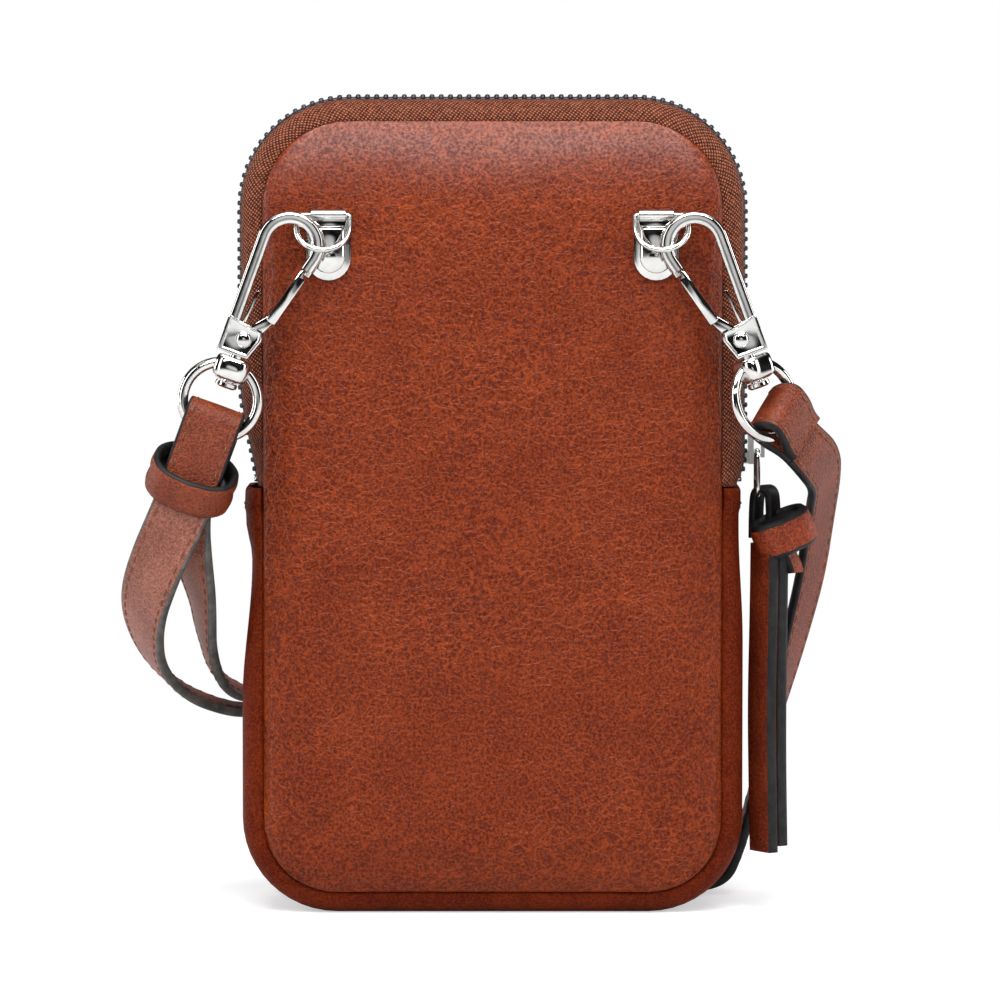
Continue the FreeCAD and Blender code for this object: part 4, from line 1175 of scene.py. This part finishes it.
def tooth_spots(side, start):
    """Teeth along the crest of the band, half a pitch apart on its two sides."""
    line = []
    outs = []
    for x, z, u, v in zip_run:
        reach = crest * crest_share(x, z) + (0.0003 if side < 0 else -0.0001)
        line.append(Vector((x + u * reach, side * tooth_row, z + v * reach)))
        outs.append(Vector((u, 0.0, v)))
    spots = []
    for index, share in paced(line, tooth_pitch, start):
        first, second = line[index], line[index + 1]
        out = outs[index].lerp(outs[index + 1], share).normalized()
        spots.append((first.lerp(second, share), (second - first).normalized(), out))
    return spots[:-1]


def chain_cord(name, side):
    """The dark cord that a row of teeth is moulded on."""
    rings = []
    for x, z, u, v in zip_run[1:-1]:
        reach = crest * crest_share(x, z) + 0.0001
        ring = []
        for step in range(8):
            across, up = compass(45.0 * step)
            out = reach + 0.00055 * up
            ring.append((x + u * out, side * tooth_row + 0.0013 * across, z + v * out))
        rings.append(ring)
    return skin(name, rings, [teeth_plastic], merge=1e-7)


back_row = repeated("zip_back_row", tooth_tree, tooth_spots(-1.0, tooth_start), tooth_sizes)
back_teeth = joined("zip_back_teeth", back_row, chain_cord("zip_back_cord", -1.0))
dressed(back_teeth, "pouch", "zip_teeth", "zip_teeth_back")
folding(chain_cord("zip_front_cord", 1.0), "zip_teeth")
front_spots = tooth_spots(1.0, tooth_start + tooth_pitch / 2)
flap_spots = [spot for spot in front_spots if spot[0].z > fold_level]
end_spots = [spot for spot in front_spots if spot[0].z <= fold_level]
for name, body, node, spots in (("zip_front_teeth", "front_flap", "zip_teeth_front", flap_spots),
                                ("zip_front_end_teeth", "pouch", "zip_teeth_front_ends", end_spots)):
    dressed(repeated(name, tooth_tree, spots, tooth_sizes), body, "zip_teeth", node)


# Leather gusset round the base, with a turned and stitched hem at each end

hem_deep, hem_stitch_level = 0.0050, 0.0935
gusset_finish = [gusset_leather, edge_paint, thread]


def lower_order(place):
    return math.atan2(place[0], -(place[1] - 0.1))


def lower_run(high):
    """The outline below a level, from the left end round the base to the right end."""
    found = [place for place in outline(0.0) if place[1] < high - near_end]
    extra = [high - hem_deep, high - 0.0047, high - 0.0010, high - near_end]
    left = [place for place in found if place[0] < 0.0] + [(-panel_half, z, -1.0, 0.0) for z in extra]
    right = [place for place in found if place[0] >= 0.0] + [(panel_half, z, 1.0, 0.0) for z in extra]
    return ([(-panel_half, high, -1.0, 0.0)] + sorted(left, key=lower_order) + sorted(right, key=lower_order)
            + [(panel_half, high, 1.0, 0.0)])


def full_section(lift, leather):
    """A band's section over its whole width, its outer side lifted."""
    outer, inner = band_section(0.0, leather)
    near = [(y, out + lift) for y, out in outer]
    both = near + [(-y, out) for y, out in reversed(near[:-1])]
    under = [(-y, out) for y, out in reversed(inner[1:])] + [(y, out) for y, out in inner]
    return both, list(reversed(under))


def gusset_share(x, z):
    """The gusset's sides: flared at the hem, pinched below it at the left, full further down."""
    if abs(x) < panel_half - 0.0005:
        return 1.0
    if x > 0:
        return 1.0 - 0.2 * smoothed(z, 0.062, 0.088)
    flare = 0.28 * smoothed(z, 0.081, 0.090)
    return 1.0 - 0.46 * smoothed(z, 0.048, 0.080) + flare - 0.06 * smoothed(z, 0.090, 0.0955)


def gusset_band(name, high):
    rings = []
    spread = []
    run = lower_run(high)
    for place, travel in zip(run, distances(run)):
        up = place[1] - (high - hem_deep)
        lift = 0.00055 * smoothed(up, -0.0004, 0.0004) * (1.0 - smoothed(up, 0.0042, 0.0054) * 0.9)
        outer, under = full_section(lift, 0.0014)
        rings.append(band_ring(place, outer + under, gusset_share(*place[:2])))
        spread.extend([(travel, y) for y, out in outer + under])
    return skin(name, rings, gusset_finish, None, spread, 1e-7)


gusset_body = gusset_band("gusset_body", hem_top)
hem_spots = []
for sign in (-1.0, 1.0):
    reach = (crest + 0.0005) * gusset_share(sign * panel_half, hem_stitch_level)
    for step in range(-3, 4):
        spot = Vector((sign * (panel_half + reach), stitch_pitch * step, hem_stitch_level))
        hem_spots.append((spot, Vector((0.0, 1.0, 0.0)), Vector((sign, 0.0, 0.0))))
gusset = joined("gusset_with_hems", gusset_body, threaded("hem_rows", hem_spots, gusset_finish))
dressed(gusset, "pouch", "leather", "lower_gusset", "gusset_hem_left", "gusset_hem_right", "gusset_lining")


# Cast and turned metal shapes, each made upright in its own frame and then put in place

def chamfered(half_wide, half_deep, cut):
    """Section (across, depth) of a bar with its corners cut off."""
    return [(half_wide, cut - half_deep), (half_wide, half_deep - cut), (half_wide - cut, half_deep),
            (cut - half_wide, half_deep), (-half_wide, half_deep - cut), (-half_wide, cut - half_deep),
            (cut - half_wide, -half_deep), (half_wide - cut, -half_deep)]


def eased(half_wide, half_deep, radius):
    """Section (across, depth) of a bar with rounded corners."""
    spots = []
    for start, across, depth in ((0, 1, 1), (90, -1, 1), (180, -1, -1), (270, 1, -1)):
        for step in range(5):
            aside, inwards = compass(start + 22.5 * step)
            spots.append((across * (half_wide - radius) + radius * aside,
                          depth * (half_deep - radius) + radius * inwards))
    return spots


def bar_along(name, path, section, place):
    """A bar along a path of (x, z) in the upright frame's plane."""
    line = [Vector((x, 0.0, z)) for x, z in path]
    rings = []
    for spot, way in zip(line, headings(line)):
        across = Vector((way.z, 0.0, -way.x))
        rings.append([place @ (spot + across * u + Vector((0.0, v, 0.0))) for u, v in section])
    return sharpened(skin(name, rings, [chrome_plate]))


def slab(name, outline_spots, front, back, place, bevel=0.0003, sunk=0.0):
    """A plate of (x, z) corners between two depths, with eased edges and a sunk front where asked."""
    middle_x = sum(x for x, z in outline_spots) / len(outline_spots)
    middle_z = sum(z for x, z in outline_spots) / len(outline_spots)

    def ring(scale, y):
        return [place @ Vector((middle_x + (x - middle_x) * scale, y, middle_z + (z - middle_z) * scale))
                for x, z in outline_spots]

    rings = [ring(1.0, back), ring(1.0, front)]
    if sunk:
        rings += [ring(0.84, front), ring(0.80, front + sunk)]
    piece = skin(name, rings, [chrome_plate])
    ease = piece.modifiers.new("ease", "BEVEL")
    ease.width = bevel
    ease.segments = 2
    ease.limit_method = "ANGLE"
    ease.angle_limit = math.radians(30.0)
    return sharpened(plain_mesh(piece))


def turned(name, profile, place, sides=24, closed=False, angle=28.0, power=2.0):
    """A shape turned about its place's Z axis, from a profile of (radius, height), squarer with a higher power."""
    rings = []
    for radius, height in profile + ([profile[0]] if closed else []):
        ring = []
        for step in range(sides):
            bearing = 2 * math.pi * step / sides
            across, along = math.cos(bearing), math.sin(bearing)
            wide = radius / (abs(across) ** power + abs(along) ** power) ** (1 / power)
            ring.append(place @ Vector((wide * across, wide * along, height)))
        rings.append(ring)
    return sharpened(skin(name, rings, [chrome_plate], capped=not closed), angle)


def metal(piece, body, node):
    dressed(piece, body, "chrome", node)


# Snap hooks

hook_leg, bow_round, bow_level = 0.0033, 0.0062, 0.0310
nose_turn = 14.8
gate_foot, gate_tip = Vector((0.00458, 0.0, 0.0131)), Vector((0.00776, 0.0, 0.02514))
gate_way = (gate_tip - gate_foot).normalized()
gate_out = Vector((gate_way.z, 0.0, -gate_way.x))
gate_half = 0.0012
rivet_spot = Vector((0.0003, 0.0, 0.0076))
boss_top, boss_low, post_end = 0.00310, -0.00230, -0.00260
ring_round, ring_wire = 0.0085, 0.00125
cheek_back, cheek_low = -0.0046, 0.0037


def bow_path():
    """The bow's middle line up to its nose, and the line of the half nose that laps the gate."""
    path = [(-hook_leg, 0.0085), (-hook_leg, 0.016), (-hook_leg, 0.024)]
    middle = bow_round - hook_leg
    for step in range(27):
        across, up = compass(180.0 - (180.0 + nose_turn) * step / 26)
        path.append((middle + bow_round * across, bow_level + bow_round * up))
    end_x, end_z = path[-1]
    down, back = compass(nose_turn)
    path += [(end_x - back * reach, end_z - down * reach) for reach in (0.0012, 0.0026)]
    lap = [(end_x - back * reach, end_z - down * reach) for reach in (0.0024, 0.0036)]
    return path, lap


def snap_hook(side, place, ring_turn):
    name = side + "_cast_"
    path, lap = bow_path()
    bow = bar_along(name + "bow", path, eased(0.0014, 0.0013, 0.0008), place)
    outer_half = [(u - 0.00072, v) for u, v in chamfered(0.00062, 0.0013, 0.0003)]
    nose = bar_along(name + "nose", lap, outer_half, place)
    cheek = [(cheek_back, cheek_low), (0.0025, cheek_low), (0.0042, 0.0086), (0.0039, 0.0105), (-0.0012, 0.0111),
             (cheek_back, 0.0120)]
    parts = [bow, nose, slab(name + "cheek", cheek, -0.0022, -0.0009, place, 0.0003, 0.0003),
             slab(name + "cheek_far", cheek, 0.0022, 0.0009, place, 0.0003, -0.0003)]
    spine = [(cheek_back, cheek_low), (-0.0021, cheek_low), (-0.0021, 0.0112), (cheek_back, 0.0120)]
    base = [(cheek_back, cheek_low), (0.0026, cheek_low), (0.0029, 0.0048), (cheek_back, 0.0048)]
    for part, spots in (("spine", spine), ("base", base)):
        parts.append(slab(name + part, spots, -0.0010, 0.0010, place))
    post = [(0.0005, 0.0040), (0.0015, 0.0040), (0.0015, post_end), (0.0023, post_end),
            (0.0025, post_end - 0.0003), (0.0025, post_end - 0.0010), (0.0020, post_end - 0.0014),
            (0.0004, post_end - 0.0015)]
    parts.append(turned(name + "post", post, place))
    metal(joined(side + "_cast_hook", *parts), side + "_hook", side + "_hook")

    step = gate_way * 0.0016
    edge = [gate_foot - gate_out * gate_half, gate_foot + gate_out * gate_half, gate_tip + gate_out * gate_half,
            gate_tip + gate_out * 0.0001, gate_tip + gate_out * 0.0001 + step,
            gate_tip - gate_out * gate_half + step]
    bar = slab(name + "gate_bar", [(spot.x, spot.z) for spot in edge], -gate_half, gate_half, place, 0.0006)
    tongue = [(-0.0018, 0.0076), (0.0024, 0.0076), (0.0058, 0.0143), (0.0034, 0.0143)]
    root = slab(name + "gate_root", tongue, -0.0007, 0.0007, place, 0.0002)
    metal(joined(side + "_cast_gate", bar, root), side + "_gate", side + "_gate")

    head = [(0.0002, -0.00275), (0.0008, -0.00270), (0.0014, -0.00252), (0.0018, -0.00222), (0.0019, -0.0019),
            (0.00095, -0.0019)]
    head += [(radius, -height) for radius, height in reversed(head)]
    through = place @ Matrix.Translation(rivet_spot) @ turn_of(-90.0, "X")
    metal(turned(side + "_gate_pin", head, through, 24, False, 40.0), side + "_hook", side + "_gate_rivet")
    leaf = [(-0.00128, 0.0105), (-0.00068, 0.0105), (0.00005, 0.01905), (-0.00055, 0.01905)]
    spring = slab(side + "_gate_leaf", leaf, -0.00092, 0.00092, place, 0.0001)
    metal(spring, side + "_hook", side + "_gate_spring")

    turn = place @ turn_of(ring_turn, "Z")
    wire = [(ring_round + ring_wire * across, ring_wire * up)
            for across, up in (compass(30.0 * step) for step in range(12))]
    ring_place = turn @ ring_middle @ turn_of(90.0, "X")
    ring = turned(name + "ring", wire, ring_place, 56, True, 60.0)
    sleeve = [(0.00162, boss_top - 0.0001), (0.0031, boss_top), (0.0037, boss_top - 0.0002),
              (0.0040, boss_top - 0.0007), (0.0041, 0.0004), (0.0040, boss_low + 0.0012),
              (0.0036, boss_low + 0.0005), (0.0029, boss_low), (0.00162, boss_low + 0.0001)]
    collar = turned(name + "collar", sleeve, turn, 40, True, 40.0, 3.4)
    metal(joined(side + "_ring_and_collar", ring, collar), side + "_swivel", side + "_swivel_ring")


snap_hook("left", left_hook_place, 0.0)
snap_hook("right", right_hook_place, right_ring_turn)


# Hangers: a shield plate with a raised field and a rolled barrel

def hanger(side, x):
    place = Matrix.Translation((x, 0.0, 0.0))
    level, foot, half = hanger_level, 0.1492, 0.0051
    shield = [(-0.0047, level - 0.0002), (-half, level - 0.0030)]
    shield += [(half * across, foot + half * up) for across, up in map(compass, range(180, 361, 15))]
    shield += [(half, level - 0.0030), (0.0047, level - 0.0002)]
    field = [(u * 0.74, 0.1505 + (z - 0.1505) * 0.74) for u, z in shield]
    plate = slab(side + "_shield", shield, -0.0180, -0.0170, place, 0.0004)
    domed = []
    for scale, depth in ((1.0, -0.0179), (1.0, -0.01815), (0.95, -0.0184), (0.80, -0.0187), (0.55, -0.01895),
                         (0.25, -0.0191), (0.02, -0.01913)):
        domed.append([place @ Vector((u * scale, depth, 0.1512 + (z - 0.1512) * scale)) for u, z in field])
    raised = sharpened(skin(side + "_field", domed, [chrome_plate]), 50.0)
    roll = [(0.00068, -0.0040), (0.0011, -0.0040), (0.00125, -0.0038), (0.00125, 0.0038), (0.0011, 0.0040),
            (0.00068, 0.0040)]
    axis = Matrix.Translation((x, -0.01835, level)) @ turn_of(90.0, "Y")
    barrel = turned(side + "_barrel", roll, axis, 20, True)
    metal(joined("hanger_" + side + "_plate", plate, raised, barrel), "pouch", "hanger_" + side)


hanger("left", -hanger_x)
hanger("right", hanger_x)


# Zip end stops, clamped on the two ends of the chain

stop_tree = repeat_tree("zip_stop", chrome_plate)
stop_spots = []
for sign in (-1.0, 1.0):
    reach = panel_half + crest * crest_share(sign, 0.0985) + 0.0002
    stop_spots.append((Vector((sign * reach, 0.0, 0.0987)), Vector((0.0, 0.0, 1.0)), Vector((sign, 0.0, 0.0))))
stop_sizes = {"Length": 0.0019, "Width": 0.0056, "Height": 0.0022, "Crease": 0.7}
metal(repeated("zip_clamped_stops", stop_tree, stop_spots, stop_sizes), "pouch", "zip_end_stops")


# Tassel on the zip's pull: a loop, a wrapped knot and two tails with painted edges

tassel_finish = [tassel_leather, edge_paint]
loop_low, loop_high = (Vector(corner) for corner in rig.box("tassel_loop"))
loop_x, loop_y = (loop_low.x + loop_high.x) / 2 + 0.0018, (loop_low.y + loop_high.y) / 2
loop_half = (loop_high.x - loop_low.x) / 2
loop_top = loop_high.z - 0.0006
loop_line = smooth_line([(loop_x + share * loop_half, loop_y, level) for share, level in (
    (-1.0, 0.0850), (-1.0, loop_top - 0.0028), (-0.6, loop_top), (0.6, loop_top), (1.0, loop_top - 0.0028),
    (1.0, 0.0850))], 8)
thong = [(u * 0.0024 / strap_half, v * 0.0008 / strap_thick) for u, v in strap_section]
thong_side = Vector((0.50, 0.87, 0.0)).normalized()
# The thong takes the black edge paint on every side: on its outer face as its own dark tone, on its inner face as
# painted shade inside the loop.
tassel_loop = strip("tassel_thong_loop", loop_line, [thong_side] * len(loop_line), headings(loop_line), thong,
                    set(), tassel_finish)
tail_section = [(u * 0.0040 / strap_half, v * 0.00132 / strap_thick) for u, v in strap_section]
tail_cos, tail_sin = compass(34.0)
tail_across = Vector((-tail_sin, tail_cos, 0.0))
tail_through = Vector((tail_cos, tail_sin, 0.0))
tassel_plane = -0.0044


def tassel_tail(name, shift, low, bow):
    spots = ((0.0632, 0.0840), (0.0631, 0.0700), (0.0630 - bow, 0.0480), (0.0629, 0.0280), (0.0632, low))
    line = smooth_line([Vector((x, tassel_plane, z)) + tail_through * shift for x, z in spots], 10)
    return strip(name, line, [tail_across] * len(line), headings(line), tail_section, face_sides,
                 [tail_leather, edge_paint])


tail_front = tassel_tail("tassel_front_tail", -0.00138, 0.0134, 0.0004)
tail_rear = tassel_tail("tassel_rear_tail", 0.00138, 0.0148, 0.0002)

wrap_section = [(0.0009, -0.0032), (0.0011, -0.0014), (0.0011, 0.0014), (0.0009, 0.0032), (0.0001, 0.0042),
                (-0.0008, 0.0042), (-0.0011, 0.0030), (-0.0011, -0.0030), (-0.0008, -0.0042), (0.0001, -0.0042)]
knot_lean = Matrix.Translation((0.0664, tassel_plane, 0.0866)) @ turn_of(-22.0, "Y") @ turn_of(9.0, "X")
wrap = loop_band("tassel_wrap", knot_lean, 0.0062, 0.0050, 0.0044, wrap_section, {0, 1, 2}, tassel_finish, 0.0007)
core_rings = []
for height, scale in ((-0.0034, 0.80), (-0.0028, 0.95), (0.0028, 0.95), (0.0034, 0.80)):
    core_rings.append([knot_lean @ Vector((0.0056 * scale * across, 0.0044 * scale * along, height))
                       for across, along in (compass(15.0 * step) for step in range(24))])
core_spread = [(0.0, 0.0) for ring in core_rings for corner in ring]
core = skin("tassel_core", core_rings, tassel_finish, set(), core_spread)
stub_line = smooth_line([(0.0660, -0.0050, 0.0860), (0.0672, -0.0050, 0.0815), (0.0684, -0.0048, 0.0795),
                         (0.0690, -0.0046, 0.0772)], 6)
stub_side = Vector((0.62, 0.78, 0.0)).normalized()
stub = strip("tassel_stub", stub_line, [stub_side] * len(stub_line), headings(stub_line),
             [(u * 0.5, v) for u, v in tail_section], face_sides, tassel_finish)
tassel_knot = joined("tassel_wrapped_knot", wrap, core, stub)
for piece, node in ((tassel_loop, "tassel_loop"), (tassel_knot, "tassel_knot"),
                    (tail_front, "tassel_tail_front"), (tail_rear, "tassel_tail_rear")):
    dressed(piece, "zip_pull", "leather", node)


# The other metal nodes keep their CAD shape with a plated finish

for name in ("zip_slider", "pull_link", "hanger_rivets", "hanger_washers", "strap_stud", "left_dring",
             "right_dring"):
    node = bpy.data.objects[name]
    node.data.materials.clear()
    node.data.materials.append(chrome_plate)

low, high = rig.bounds()
with open("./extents.json", "w") as sizes:
    json.dump({"cad": [list(cad_low), list(cad_high)], "visual": [list(low), list(high)]}, sizes)
